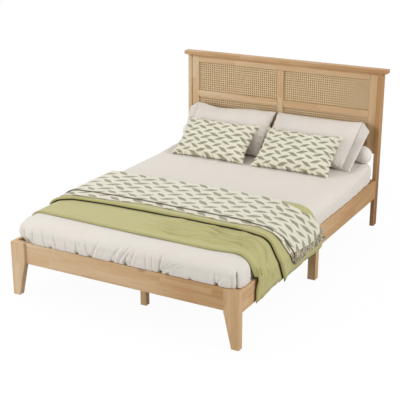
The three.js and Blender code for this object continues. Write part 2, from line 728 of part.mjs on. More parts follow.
function buildCloths() {
  // The quilt and the throw share their rows, so that one lies evenly on the other
  const throwNose = throwUpperSetback - throwSheet;
  const evenly = (count, low, high) => (
    Array.from({ length: count }, (_, i) => mix(low, high, i / (count - 1)))
  );
  const upperRows = evenly(8, throwUpperSetback, throwHeadSetback);
  const doubled = quiltSheet + quiltFold;
  const nose = quiltFold / 2;
  const singleRows = evenly(5, quiltFootSetback, quiltFoldSetback - nose);
  const underThrow = [throwFootSetback, throwNose, ...upperRows];
  const doubledRows = [quiltFoldSetback + nose, ...underThrow, quiltHeadSetback];
  const quiltRows = [
    ...singleRows.map((setback) => [setback, quiltSheet]),
    [quiltFoldSetback, quiltSheet + nose],
    ...doubledRows.map((setback) => [setback, doubled]),
  ].map(([setback, thickness]) => [setback, thickness, [throwHemAt(setback), quiltHemAt(setback)]]);
  add('quilt', clothGeometry(quiltRows, 0, 0), 'quilt');

  const throwRows = [
    [throwFootSetback, throwSheet],
    [throwNose, throwSheet],
    ...upperRows.map((setback) => [setback, 2 * throwSheet]),
  ].map(([setback, thickness]) => [setback, thickness, [throwHemAt(setback)]]);
  add('throw', clothGeometry(throwRows, doubled + seatGap, throwSlack), 'throwCloth');
}

buildHeadboard();
buildFrame();
buildBedding();
buildCloths();

export default bed;
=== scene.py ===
import math
import bmesh
import bpy
import numpy as np
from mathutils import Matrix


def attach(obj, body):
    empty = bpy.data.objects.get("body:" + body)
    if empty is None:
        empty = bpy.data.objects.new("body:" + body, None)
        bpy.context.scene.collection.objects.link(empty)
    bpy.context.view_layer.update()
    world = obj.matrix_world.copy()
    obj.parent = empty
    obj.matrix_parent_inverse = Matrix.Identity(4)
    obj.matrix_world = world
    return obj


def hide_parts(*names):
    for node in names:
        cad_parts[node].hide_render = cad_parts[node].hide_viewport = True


# A wooden double bed with a cane headboard, made up with a fitted sheet, a bolster, two
# pillows, two leaf-patterned cushions, a folded quilt and a woven throw. Metres, +Z up,
# the head towards +Y and the origin on the floor under the middle.

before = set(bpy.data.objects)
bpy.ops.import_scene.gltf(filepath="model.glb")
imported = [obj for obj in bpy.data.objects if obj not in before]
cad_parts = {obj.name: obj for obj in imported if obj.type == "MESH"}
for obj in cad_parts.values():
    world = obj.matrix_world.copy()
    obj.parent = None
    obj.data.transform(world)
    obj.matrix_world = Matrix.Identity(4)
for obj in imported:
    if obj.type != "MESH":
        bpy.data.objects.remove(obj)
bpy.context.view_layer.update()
print("frame loaded:", len(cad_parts), "solids")

footEnd = -1.055   # where the foot legs' front faces are
bedTop = 0.4623    # the mattress's upper face


# Camera

cameraSetting = {
    "place": (2.6565, -4.9662, 2.3357),
    "tiltDown": 19.23,
    "turn": 28.86,
    "lens": 86.4,
}


def makeCamera(setting):
    lens = bpy.data.cameras.new("camera")
    lens.lens = setting["lens"]
    lens.clip_start = 0.1
    lens.clip_end = 200
    camera = bpy.data.objects.new("camera", lens)
    camera.location = setting["place"]
    camera.rotation_euler = (math.radians(90 - setting["tiltDown"]), 0, math.radians(setting["turn"]))
    bpy.context.scene.collection.objects.link(camera)
    bpy.context.scene.camera = camera


makeCamera(cameraSetting)
print("camera placed")


# Materials: sums on sockets, and one graph for each material

def operator(name, turned=False):
    # a method that adds one Math node; turned puts the other value first
    def method(self, *others):
        values = [*others, self] if turned else [self, *others]
        return self.graph.node("ShaderNodeMath", {"operation": name}, values)
    return method


class Wire:
    # a socket that can be used in sums
    def __init__(self, graph, socket):
        self.graph = graph
        self.socket = socket

    __add__ = __radd__ = operator("ADD")
    __sub__ = operator("SUBTRACT")
    __rsub__ = operator("SUBTRACT", turned=True)
    __mul__ = __rmul__ = operator("MULTIPLY")
    __truediv__ = operator("DIVIDE")
    __pow__ = operator("POWER")
    __mod__ = operator("FLOORED_MODULO")
    __lt__ = operator("LESS_THAN")
    __gt__ = operator("GREATER_THAN")
    __abs__ = operator("ABSOLUTE")
    floor = operator("FLOOR")
    fract = operator("FRACT")
    sine = operator("SINE")
    cosine = operator("COSINE")
    least = operator("MINIMUM")
    most = operator("MAXIMUM")

    def ease(self, low, high):
        # 0 up to low, 1 from high on, and an eased rise between them
        return self.graph.node("ShaderNodeMapRange", {"interpolation_type": "SMOOTHSTEP"}, [self, low, high])


class Graph:
    # the nodes of one material or of the world; a text value is a six-figure screen colour
    def __init__(self, tree):
        self.tree = tree
        tree.nodes.clear()

    def node(self, kind, settings, inputs, output=0):
        made = self.tree.nodes.new(kind)
        for key, value in settings.items():
            if key == "stops":
                stops = made.color_ramp.elements
                while len(stops) < len(value):
                    stops.new(0.5)
                for stop, (place, colour) in zip(stops, value):
                    stop.position = place
                    stop.color = paint(colour)
            else:
                setattr(made, key, value)
        for key, value in inputs.items() if isinstance(inputs, dict) else enumerate(inputs):
            if isinstance(value, Wire):
                self.tree.links.new(value.socket, made.inputs[key])
            else:
                made.inputs[key].default_value = paint(value) if isinstance(value, str) else value
        return Wire(self, made.outputs[output]) if made.outputs else None

    def axes(self, vector):
        return [self.node("ShaderNodeSeparateXYZ", {}, [vector], k) for k in range(3)]

    def vector(self, x, y, z=0.0):
        return self.node("ShaderNodeCombineXYZ", {}, [x, y, z])

    def place(self):
        return self.axes(self.node("ShaderNodeTexCoord", {}, [], "Object"))

    def cut(self, name):
        return self.axes(self.node("ShaderNodeUVMap", {"uv_map": name}, []))[:2]

    def noise(self, x, y, z, detail=2.0, roughness=0.5, distortion=0.0):
        sockets = {"Vector": self.vector(x, y, z), "Scale": 1.0, "Detail": detail, "Roughness": roughness}
        return self.node("ShaderNodeTexNoise", {}, {**sockets, "Distortion": distortion})

    def chance(self, x, y, z):
        sockets = {"Vector": self.vector(x, y, z)}
        return self.node("ShaderNodeTexWhiteNoise", {"noise_dimensions": "3D"}, sockets)

    def mix(self, share, first, second):
        return self.node("ShaderNodeMix", {"data_type": "RGBA"}, {0: share, 6: first, 7: second}, 2)

    def ramp(self, value, stops):
        return self.node("ShaderNodeValToRGB", {"stops": stops}, [value])

    def bump(self, height, distance, strength=1.0):
        return self.node("ShaderNodeBump", {}, {"Strength": strength, "Distance": distance, "Height": height})


def paint(code):
    # a six-figure screen colour as linear light
    parts = [int(code[k:k + 2], 16) / 255 for k in (0, 2, 4)]
    return (*[p / 12.92 if p <= 0.04045 else ((p + 0.055) / 1.055) ** 2.4 for p in parts], 1.0)


def makeMaterial(name, build, fixed=None):
    # build gives colour, roughness and normal; fixed holds the shader's own even values
    material = bpy.data.materials.new(name)
    material.use_nodes = True
    graph = Graph(material.node_tree)
    colour, roughness, normal = build(graph)
    sockets = {"Base Color": colour, "Roughness": roughness, "Normal": normal, **(fixed or {})}
    graph.node("ShaderNodeOutputMaterial", {}, [graph.node("ShaderNodeBsdfPrincipled", {}, sockets)])
    return material


# Meshes from grids of points

def gridFaces(rows, columns, closeRows=False, closeColumns=False):
    # quads of a grid numbered row by row; either way can join its end to its start
    i = np.arange(rows if closeRows else rows - 1)[:, None]
    j = np.arange(columns if closeColumns else columns - 1)[None, :]
    below = (i + 1) % rows
    beside = (j + 1) % columns
    corners = [i * columns + j, below * columns + j, below * columns + beside, i * columns + beside]
    return np.stack(np.broadcast_arrays(*corners), -1).reshape(-1, 4)


def setMap(mesh, name, pairs):
    # a flat map from one pair of coordinates for each point
    layer = mesh.uv_layers.new(name=name)
    corner = np.zeros(len(mesh.loops), np.int32)
    mesh.loops.foreach_get("vertex_index", corner)
    layer.uv.foreach_set("vector", np.asarray(pairs, np.float32).reshape(-1, 2)[corner].ravel())


def makePiece(name, points, faces, material, maps=None, weld=1e-5, rounded=True):
    # a piece from points and quads; maps are named flat coordinates
    mesh = bpy.data.meshes.new(name)
    mesh.from_pydata(np.asarray(points, float).reshape(-1, 3), [], faces)
    for key, pairs in (maps or {}).items():
        setMap(mesh, key, pairs)
    if weld:
        work = bmesh.new()
        work.from_mesh(mesh)
        bmesh.ops.remove_doubles(work, verts=work.verts, dist=weld)
        bmesh.ops.dissolve_degenerate(work, edges=work.edges, dist=weld)
        bmesh.ops.recalc_face_normals(work, faces=work.faces)
        work.to_mesh(mesh)
        work.free()
    mesh.polygons.foreach_set("use_smooth", np.full(len(mesh.polygons), rounded))
    mesh.materials.append(material)
    piece = bpy.data.objects.new(name, mesh)
    bpy.context.scene.collection.objects.link(piece)
    return piece


def dress(piece, body, node=None):
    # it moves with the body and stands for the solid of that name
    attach(piece, body)
    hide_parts(node or body)


def readPoints(mesh):
    points = np.zeros(len(mesh.vertices) * 3, np.float32)
    mesh.vertices.foreach_get("co", points)
    return points.reshape(-1, 3).astype(float)


def writePoints(mesh, points):
    mesh.vertices.foreach_set("co", np.asarray(points, np.float32).ravel())
    mesh.update()


def smooth(value, low, high):
    # 0 up to low, 1 from high on, eased between: t squared times (3 - 2t)
    t = np.clip((value - low) / (high - low), 0, 1)
    return t * t * (3 - 2 * t)


def fall(value, low, high):
    # 1 up to low and 0 from high on
    return 1 - smooth(value, low, high)


def bell(away, width):
    # 1 in the middle, and e to the minus (away / width) squared to both sides
    return np.exp(-((away / width) ** 2))


def ripple(a, b, wave, seed, count=7):
    # a sum of even waves in chance directions, about wave long, from -1 to 1
    chance = np.random.default_rng(seed)
    total = 0
    for _ in range(count):
        angle, phase, size = chance.uniform(0, np.pi), chance.uniform(0, 2 * np.pi), chance.uniform(0.6, 1.7)
        total = total + np.sin(2 * np.pi * (a * np.cos(angle) + b * np.sin(angle)) / (wave * size) + phase)
    return total / count


# Wood: staves glued side by side, each of finger-jointed blocks

woodLook = {
    "light": "e0c8a6",
    "middle": "d0ad82",
    "dark": "b68a58",
    "flame": "bc8354",
    "plainLight": "e0c8a0",
    "plainDark": "c2a274",
    "pore": "8a6238",
    # painted shade colour for the lower part of the right head leg
    "headLegShadeColour": "7a4e27",
    "staveWidth": 0.046,
    "slabDepth": 0.11,
    "blockLength": 0.31,
    "blockTone": 0.17,
    "shadeToRight": 0.14,    # painted shade: darker towards the bed's right
    # painted shade: the cap darker than the rails below it
    "capShade": 0.40,
    # painted shade: the foot rail's front browner towards its right end
    "footRailShade": 0.28,
    # painted shade: the right side rail browner towards the head
    "sideRailShade": 0.40,
    # how much painted shade darkens the right head leg
    "headLegShadeShare": 0.85,
    "polish": 0.42,
}
# the back board is real; its dark brown is partly painted shade, for the shade seen through the cane's holes
trimLook = {"steel": ("3c3e41", "5a5c60"), "backBoard": ("5d4224", "432e17")}


def buildWood(along, plain):
    look = woodLook
    tones = ("plainLight", "plainDark", "plainDark") if plain else ("light", "middle", "dark")

    def build(g):
        x, y, z = g.place()
        run, over, through = {"x": (x, z, y), "y": (y, z, x), "z": (z, x, y)}[along]
        staves = over / look["staveWidth"] + 0.37
        stave = staves.floor()
        slab = (through / look["slabDepth"] + 0.2).floor()
        blocks = run / look["blockLength"] + g.chance(stave, slab, 3.0) * 9.0
        block = blocks.floor()
        tone = g.chance(block, stave, slab)
        turn = g.chance(block, stave, slab + 40.0)
        bands = g.noise(run * 2.6 + tone * 31.0, over * 34.0 + turn * 9.0, through * 34.0, 3.0, 0.55, 0.7)
        fine = g.noise(run * 16.0, over * 420.0 + turn * 50.0, through * 420.0, 2.0, 0.6)
        pores = g.noise(run * 60.0, over * 1500.0, through * 1500.0, 1.0, 0.5).ease(0.62, 0.74)
        flame = g.noise(run * 3.4 + turn * 7.0, over * 17.0, through * 17.0, 2.0, 0.5, 1.0).ease(0.60, 0.78)
        # painted light and shade: the boards paler to the left of the bed and browner to its right
        shade = bands * 0.62 + (tone - 0.5) * look["blockTone"] + (fine - 0.5) * 0.3 + 0.15
        # painted shade on the cap, above 1.04 m
        shade = shade + x * look["shadeToRight"] + (z > 1.04) * look["capShade"]
        # painted shade on the foot rail's front towards its right end
        shade = shade + (y < -1.01) * (x < 0.634) * x.ease(0.05, 0.45) * look["footRailShade"]
        # painted shade on the right side rail towards the head
        shade = shade + (x > 0.69) * y.ease(-0.2, 1.0) * look["sideRailShade"]
        colour = g.ramp(shade, [(place, look[name]) for place, name in zip((0.12, 0.5, 0.92), tones)])
        joint = abs(blocks.fract() - 0.5).ease(0.4975, 0.4995)
        joint = joint.most(abs(staves.fract() - 0.5).ease(0.491, 0.498))
        headLegShade = (x > 0.69) * (y > 1.0) * (1 - z.ease(0.16, 0.74))   # painted shade: the right head leg darker low down
        knotPlace = g.vector(run * 2.2, over * 5.0 + 0.3, through * 5.0)
        knot = 1 - g.node("ShaderNodeTexVoronoi", {}, {"Vector": knotPlace, "Scale": 1.0}).ease(0.03, 0.085)
        for share, name in (
            (flame * 0.45, "flame"), (pores * 0.35, "pore"), (joint * 0.16, "pore"),
            (headLegShade * look["headLegShadeShare"], "headLegShadeColour"), (knot * 0.55, "pore"),
        ):
            colour = g.mix(share, colour, look[name])
        roughness = fine * 0.18 + pores * 0.15 + look["polish"] + (0.12 if plain else 0.0)
        relief = fine * 0.3 - pores * 0.6 - joint * 0.5 + bands * 0.4
        return colour, roughness, g.bump(relief, 0.0003, 0.6)
    return build


def buildSteel(g):
    x, y, z = g.place()
    cloud = g.noise(x * 60.0, y * 60.0, z * 60.0, 3.0)
    grit = g.noise(x * 1400.0, y * 1400.0, z * 1400.0, 1.0)
    return g.mix(cloud, *trimLook["steel"]), cloud * 0.2 + 0.35, g.bump(grit, 0.0002, 0.4)


def buildBackBoard(g):
    x, y, z = g.place()
    bands = g.noise(x * 3.0, y * 20.0, z * 26.0, 4.0, 0.6, 0.6)
    fine = g.noise(x * 20.0, y * 300.0, z * 500.0, 2.0)
    colour = g.ramp(bands * 0.7 + fine * 0.3, list(zip((0.25, 0.75), trimLook["backBoard"])))
    return colour, fine * 0.2 + 0.6, g.bump(fine, 0.0002, 0.4)


woods = {
    (along, plain): makeMaterial(
        f"{'slatWood' if plain else 'oiledWood'}{along.upper()}", buildWood(along, plain),
    )
    for along in "xyz" for plain in (False, True)
}
boardsAlongX = (
    "headboard_cap", "headboard_top_rail", "headboard_bottom_rail", "headboard_mid_rail", "foot_rail",
    "head_cross_rail",
)
# the first finish whose beginnings include how a solid's name starts
finishes = (
    (("corner_bracket", "beam_hanger"), makeMaterial("darkSteel", buildSteel, {"Metallic": 0.85})),
    ("headboard_back_board", makeMaterial("backBoardVeneer", buildBackBoard)),
    (("slat_ledge", "centre_beam"), woods["y", True]),
    ("slat_", woods["x", True]),
    ("side_rail", woods["y", False]),
    (boardsAlongX, woods["x", False]),
    ("", woods["z", False]),
)
for nodeName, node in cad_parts.items():
    for place in node.material_slots:
        place.material = next(finish for starts, finish in finishes if nodeName.startswith(starts))
print("wood, steel and board finished")


# Cane: pairs of upright and level strands, woven, with both slants between the crossings

caneLook = {
    "pitch": 0.0153,
    "pairGap": 0.0021,
    "strandWidth": 0.0027,
    "slantWidth": 0.0029,
    "strandThickness": 0.0006,
    "swing": 0.0007,
    "edgeGap": 0.004,
    "light": "f7dfb4",
    "dark": "dcb683",
    "depth": 1.0138,
    "across": (0.0135, 0.6507),
    "rise": {"upper": (0.791, 1.014), "lower": (0.551, 0.764)},
}


def strands(paths, across, width, thickness):
    # flat strands: each path carries a four-cornered section, width one way and thickness along y
    count, steps = paths.shape[:2]
    flat = np.array([0.0, 1.0, 0.0])
    section = [(-0.5, 0.1), (-0.28, -0.5), (0.28, -0.5), (0.5, 0.1)]
    corners = [paths + across[:, None, :] * (a * width) + flat * (b * thickness) for a, b in section]
    points = np.stack(corners, 2)   # strand, step, corner, axis
    ends = np.array([[0, 1, 2, 3], np.arange(4)[::-1] + (steps - 1) * 4])
    one = np.concatenate([gridFaces(steps, 4, closeColumns=True), ends])
    faces = (one[None] + (np.arange(count) * steps * 4)[:, None, None]).reshape(-1, 4)
    along = np.linalg.norm(np.diff(paths, axis=1, prepend=paths[:, :1]), axis=2).cumsum(1)
    side = np.broadcast_to(np.array([a for a, b in section]) * width, (count, steps, 4))
    chance = np.arange(count)[:, None, None] * 0.37
    maps = np.stack([side + chance, np.broadcast_to(along[..., None], side.shape) + chance], -1)
    return points.reshape(-1, 3), faces, maps.reshape(-1, 2)


def wovenPanel(look, side, level):
    pitch, swing = look["pitch"], look["swing"]
    x0, x1 = sorted(side * edge for edge in look["across"])
    z0, z1 = look["rise"][level]
    middleX, middleZ = (x0 + x1) / 2, (z0 + z1) / 2
    parts = []

    def crossings(low, high):
        # whole pitches from the middle that stay clear of both edges
        steps = np.arange(-round((high - low) / 2 / pitch), round((high - low) / 2 / pitch) + 1)
        return steps[abs(steps * pitch) < (high - low) / 2 - look["edgeGap"]]

    def add(x, z, y, across, width):
        paths = np.stack(np.broadcast_arrays(x, look["depth"] + y, z), -1)
        parts.append(strands(paths, np.broadcast_to(across, (len(paths), 3)), width, look["strandThickness"]))

    columns, rows = crossings(x0, x1), crossings(z0, z1)
    pairs = np.array([-1, 1]) * look["pairGap"]

    def straight(low, high, middle, along, first, over):
        # depth is swing times the cosine of half a turn for each pitch, turned over by strand
        run = np.linspace(low, high, 2 * len(along) + 3)[None, :]
        wave = np.repeat((-1.0) ** over, 2)[:, None] * np.cos(np.pi * (run - middle) / pitch)
        return (first + over[:, None] * pitch + pairs).reshape(-1, 1), run, swing * wave

    x, z, wave = straight(z0, z1, middleZ, rows, middleX, columns)
    add(x, z, wave, (1.0, 0.0, 0.0), look["strandWidth"])
    # level: the same wave, against the upright one at each crossing
    z, x, wave = straight(x0, x1, middleX, columns, middleZ, rows)
    add(x, z, -wave, (0.0, 0.0, 1.0), look["strandWidth"])
    # slanting: straight lines midway between the crossings, which leave eight-sided holes
    reach = len(columns) // 2 + len(rows) // 2
    start = middleX + (np.arange(-reach, reach) + 0.5)[:, None] * pitch
    for way in (1, -1):
        lowX = np.clip(start - way * (middleZ - z0), x0, x1)
        highX = np.clip(start + way * (z1 - middleZ), x0, x1)
        x = lowX + (highX - lowX) * np.linspace(0, 1, 2 * len(rows) + 3)
        z = middleZ + (x - start) * way
        long = abs(highX - lowX)[:, 0] > pitch
        wave = 1.5 * swing * way * np.cos(np.pi * (z - middleZ) / pitch)
        add(x[long], z[long], wave[long], np.array([1.0, 0.0, -way]) / np.sqrt(2), look["slantWidth"])

    points, faces, maps = zip(*parts)
    offsets = np.cumsum([0, *map(len, points)])
    faces = [own + k for own, k in zip(faces, offsets)]
    return np.concatenate(points), np.concatenate(faces), np.concatenate(maps)


def buildCane(g):
    side, along = g.cut("strand")
    streak = g.noise(side * 2600.0, along * 30.0, 0.0, 3.0, 0.6)
    blotch = g.noise(side * 8.0, along * 9.0, 2.0, 2.0)
    share = streak * 0.7 + blotch * 0.5 - 0.1
    colour = g.mix(share.ease(0.2, 0.8), caneLook["light"], caneLook["dark"])
    return colour, streak * 0.25 + 0.3, g.bump(streak, 0.0002, 0.5)


cane = makeMaterial("rattanCane", buildCane, {"Specular IOR Level": 0.6})
for sideName, side in (("left", -1), ("right", 1)):
    for level in ("upper", "lower"):
        points, faces, maps = wovenPanel(caneLook, side, level)
        name = f"woven_cane_{level}_{sideName}"
        panel = makePiece(name, points, faces, cane, {"strand": maps}, weld=0, rounded=False)
        dress(panel, "bed_frame", f"cane_panel_{level}_{sideName}")
print("cane woven")


# Fabrics

fabricLook = {
    "sheet": "e4ded6",
    "sheetShade": "dcd5cb",
    # painted light: the bolster's cloth paler than the sheet's
    "bolster": "f5efe8",
    "litBolsterShade": "ebe4db",
    "case": "e7e0d8",
    "caseShade": "dfd7ce",
    "seam": "55504a",
    "quilt": "c1bb85",
    "quiltDeep": "b4ad72",
    # painted shadow: near black on the quilt's faces inside the fold
    "quiltFoldShadow": "120e06",
    "binding": "9c965a",
    "stitch": "7c7848",
    "ground": "ebe5d5",
    "groundShade": "dfd9c5",
    "leaf": "929472",
    "leafDeep": "818361",
    "bandPale": "cfc4a3",
    "bandDark": "5a4f3c",
    # painted shadow line along the throw's hems
    "throwHem": "a8926a",
    # painted shadow: near black on the throw's faces inside the fold
    "throwFoldShadow": "231b12",
    "threadPitch": 0.0016,
}
washedSheen = {"Sheen Weight": 0.15, "Sheen Roughness": 0.5}
wovenSheen = {"Sheen Weight": 0.2, "Sheen Roughness": 0.5}


def linen(g, light, shade, patch):
    # a washed plain weave with slubs: the place, its colour, slubs and relief. The weave is the
    # product of two sines for each pair of axes.
    x, y, z = g.place()
    turn = 2 * math.pi / fabricLook["threadPitch"]
    sx, sy, sz = (x * turn).sine(), (y * turn).sine(), (z * turn).sine()
    cloud = g.noise(x * patch, y * patch, z * patch, 3.0)
    slub = g.noise(x * 300.0, y * 40.0, z * 300.0, 2.0)
    colour = g.mix(cloud * 0.7 + slub * 0.3, fabricLook[light], fabricLook[shade])
    return x, y, z, colour, slub, (sx * sy + sy * sz + sz * sx) * 0.06 + slub * 0.12


def buildSheet(light, shade):
    def build(g):
        x, y, z, colour, slub, relief = linen(g, light, shade, 5.0)
        crease = g.noise(x * 22.0, y * 14.0, z * 22.0, 4.0, 0.55, 0.8)
        # thin upright creases round the sides
        pleat = g.noise(x * 60.0, y * 60.0, z * 10.0, 3.0, 0.5, 0.7) * (1 - z.ease(0.39, 0.45))
        return colour, slub * 0.1 + 0.78, g.bump(relief + crease * 1.8 + pleat * 2.8, 0.0014, 0.6)
    return build


sheetCloth = makeMaterial("washedSheet", buildSheet("sheet", "sheetShade"), washedSheen)
# painted light: the bolster made like the sheet but paler
litBolsterCloth = makeMaterial("litBolsterCase", buildSheet("bolster", "litBolsterShade"), washedSheen)


# Mattress with its fitted sheet

mattressShape = {
    "halfWidth": 0.7,
    "halfLength": 1.0,
    "middle": -0.011,
    "bottom": 0.2623,
    "height": 0.2,
    "shoulder": 0.08,
    "headShoulder": 0.045,
    "hem": 0.018,
    "corner": 0.09,
    "railHeight": 0.0675,    # up from the bottom, where the sheet comes clear of the rails
    "sideHeight": 0.12,      # and where the shoulder starts
    "overFoot": 0.028,       # how far the sheet bulges out over the rails
    "overLeft": 0.020,
    "overRight": 0.015,
    "overCorner": 0.018,
    "gatherCount": 150,
    "gatherDepth": 0.0050,
    "gatherFoot": 0.33,      # the height from which folds and gathers lean
    "hollow": 0.0012,        # soft hollows on the top
    "steps": (0.0029, 0.004, 0.0085),    # between stations: at the foot, beside it and far from it
}
# heights on the side above the bottom, and the share of the bulge there
bulge = (
    (0.032, 0), (0.046, 0), (0.056, 0), (0.0615, 0), (0.0634, 0.02), (0.0638, 0.35), (0.0641, 0.7),
    (0.0646, 0.88), (0.0656, 0.96), (0.0675, 1), (0.071, 1.02), (0.0755, 1.05), (0.081, 1.07), (0.088, 1.09),
    (0.096, 1.09), (0.104, 1.07), (0.112, 1.02), (0.12, 0.95),
)
# folds on the foot in mm: x at the rail, x and height at the top, depth and width
footFolds = (
    (-3, 80, 455, 5, 6.5), (-55, 30, 450, 4.2, 7), (-35, 19, 432, 3.5, 5), (36, 72, 425, 4, 5.5),
    (36, 46, 400, 4.5, 5), (73, 107, 445, 3, 6), (250, 262, 450, 6.2, 6), (256, 437, 430, 4.2, 8),
    (252, 495, 415, 3.5, 9), (246, 355, 420, 3.8, 6), (172, 156, 445, 2.8, 5), (209, 199, 440, 3, 5),
    (582, 570, 410, 5, 6), (590, 630, 395, 3.5, 6), (-487, -535, 450, 3.5, 5.5), (-571, -588, 440, 4.5, 5.5),
    (-412, -447, 430, 3.2, 5.5), (-344, -360, 412, 3, 5), (-277, -283, 415, 4.2, 6), (-198, -232, 432, 4, 6),
    (-171, -128, 440, 3.6, 6.5), (-614, -631, 420, 5, 5.5),
)
# pockets where the sheet pulls in at the foot rail, in mm: x and depth
footPockets = (
    (-600, 16), (-625, 20), (-455, 9), (-277, 13), (-190, 11), (-48, 8), (38, 20), (252, 22), (300, 7),
    (433, 6), (584, 18),
)
# creases round a foot corner: the side; slant in degrees for each metre up, width and length of the
# fade; the ridge's share of the depth, shift and width; degrees round, depth and top of each crease
cornerCreases = (
    (1, (0, 0.0030, 0.03), (0.5, 0.010, 0.005), ((40, 0.013, 0.425), (30, 0.002, 0.40), (60, 0.002, 0.41))),
    (-1, (60, 0.005, 0.05), (0.4, 0.012, 0.006), (
        (12, 0.005, 0.43), (27, 0.007, 0.44), (41, 0.005, 0.435), (58, 0.006, 0.44), (75, 0.004, 0.43),
    )),
)


def mattressRing(shape):
    # even steps of a changing size round a rectangle with round corners, close together at the
    # foot: how far along each straight side, and the turn of the corner, at each station
    corner = shape["corner"]
    long, wide = 2 * (shape["halfLength"] - corner), 2 * (shape["halfWidth"] - corner)
    arc = corner * np.pi / 2
    stops = np.cumsum([0, long, arc, wide, arc, long, arc, wide, arc])
    s = np.linspace(0, stops[-1], 6001)
    fromFoot = np.minimum(abs(s - stops[6]), abs(s - stops[7]))
    fine, near, far = shape["steps"]
    step = np.where((s > stops[5]) | (s < 0.05), fine, np.clip(near + 0.05 * fromFoot, near, far))
    count = np.concatenate([[0], np.cumsum(np.diff(s) / step[1:])])
    total = int(count[-1])
    way = np.interp(np.arange(total) / total * count[-1], count, s)
    sideX = np.interp(way, stops, [1, 1, 1, -1, -1, -1, -1, 1, 1])
    sideY = np.interp(way, stops, [-1, 1, 1, 1, 1, -1, -1, -1, -1])
    turn = np.interp(way, stops, np.radians([0, 0, 90, 90, 180, 180, 270, 270, 360]))
    return way, stops[-1], sideX, sideY, np.cos(turn), np.sin(turn)


def mattressPoints(shape):
    # two parameters: the way round, and the way up from the middle of the underside, over the
    # rounded hem, the side, out over the rail, the shoulder, and in to the middle of the top
    way, total, sideX, sideY, outX, outY = mattressRing(shape)
    wanted = ("hem", "height", "shoulder", "corner", "railHeight")
    hem, top, shoulder, corner, rail = (shape[key] for key in wanted)
    hemTurn = np.linspace(0, np.pi / 2, 5)[1:]
    turn = np.linspace(0, np.pi / 2, 18)[1:]
    side, out = np.array(bulge).T
    inwards = np.arange(1, 25) / 24
    flat = np.zeros(24)
    rise = np.concatenate([
        np.zeros(3), hem * (1 - np.cos(hemTurn)), side, top - shoulder * (1 - np.sin(turn)), flat + top,
    ])[:, None]
    inset = np.concatenate([
        np.full(3, hem), hem * (1 - np.sin(hemTurn)), 0 * side, shoulder * (1 - np.cos(turn)),
        flat + shoulder,
    ])[:, None]
    swell = np.concatenate([np.zeros(7), out, 0.95 * np.cos(turn) ** 1.3, flat])[:, None]
    draw = np.concatenate([[0, 0.5, 1], np.ones(4 + 18 + 17), 1 - inwards ** 0.8])[:, None]
    # the shoulder tightens towards the head
    toHead = smooth(sideY * (shape["halfLength"] - corner), 0.45, 0.85)
    tight = 1 - (1 - shape["headShoulder"] / shoulder) * toHead
    stretch = (top - shoulder * tight - rail) / (shape["sideHeight"] - rail)
    turned = (np.arange(len(rise)) >= 7 + len(side))[:, None]
    stretched = np.where(rise > rail, rail + (rise - rail) * stretch, rise)
    rise = np.where(turned, top - (top - rise) * tight, stretched)
    inset = np.where(turned, inset * tight, inset)
    x = draw * (sideX * (shape["halfWidth"] - corner - inset) + outX * corner)
    y = draw * (sideY * (shape["halfLength"] - corner - inset) + outY * corner) + shape["middle"]
    z = shape["bottom"] + rise + 0 * x
    # the bulge over each rail, faded out below the quilt and at the head
    bare = smooth(-y, 0.880, 0.915) + smooth(y, -0.05, 0.06) * fall(y, 0.62, 0.93)
    right = shape["overRight"] * bare * (outX > 0)
    left = shape["overLeft"] * fall(y, 0.7, 0.93) * (outX < 0)
    fill = shape["overCorner"] * (2 * outX * outY) ** 2 * np.where((outX > 0) | (outY > 0), 1, 0.3)
    over = shape["overFoot"] * (outY < 0) * outY ** 2 + (right + left) * outX ** 2 + fill
    hidden = (outX < -0.5) & (y > -0.93) & (y < 0)
    over = over * swell * np.where(hidden, fall(z, 0.375, 0.41), 1)
    # less of it at the rail than above it towards the left foot corner
    pinched = smooth(-x, 0.56, 0.64) * smooth(-y, 0.9, 0.97) * fall(z, 0.33, 0.37)
    return x, y, z, way, total, outX, outY, over * (1 - 0.75 * pinched)


def gathers(shape, z, way, total):
    # each gather is a valley: depth times a bell curve across it, fading up over the shoulder
    chance = np.random.default_rng(11)
    count = shape["gatherCount"]
    places = (np.arange(count) + chance.uniform(-0.45, 0.45, count)) * total / count
    depths = shape["gatherDepth"] * chance.uniform(0.15, 1.0, count) ** 1.5
    widths = chance.uniform(0.005, 0.016, count)
    slants = chance.uniform(-0.5, 0.5, count)
    tops = chance.uniform(0.375, 0.45, count)
    valley = np.zeros_like(z)
    for place, depth, width, slant, top in zip(places, depths, widths, slants, tops):
        away = (way[None, :] - place - slant * (z - shape["gatherFoot"]) + total / 2) % total - total / 2
        valley += depth * bell(away, width) * fall(z, top - 0.06, top)
    return valley


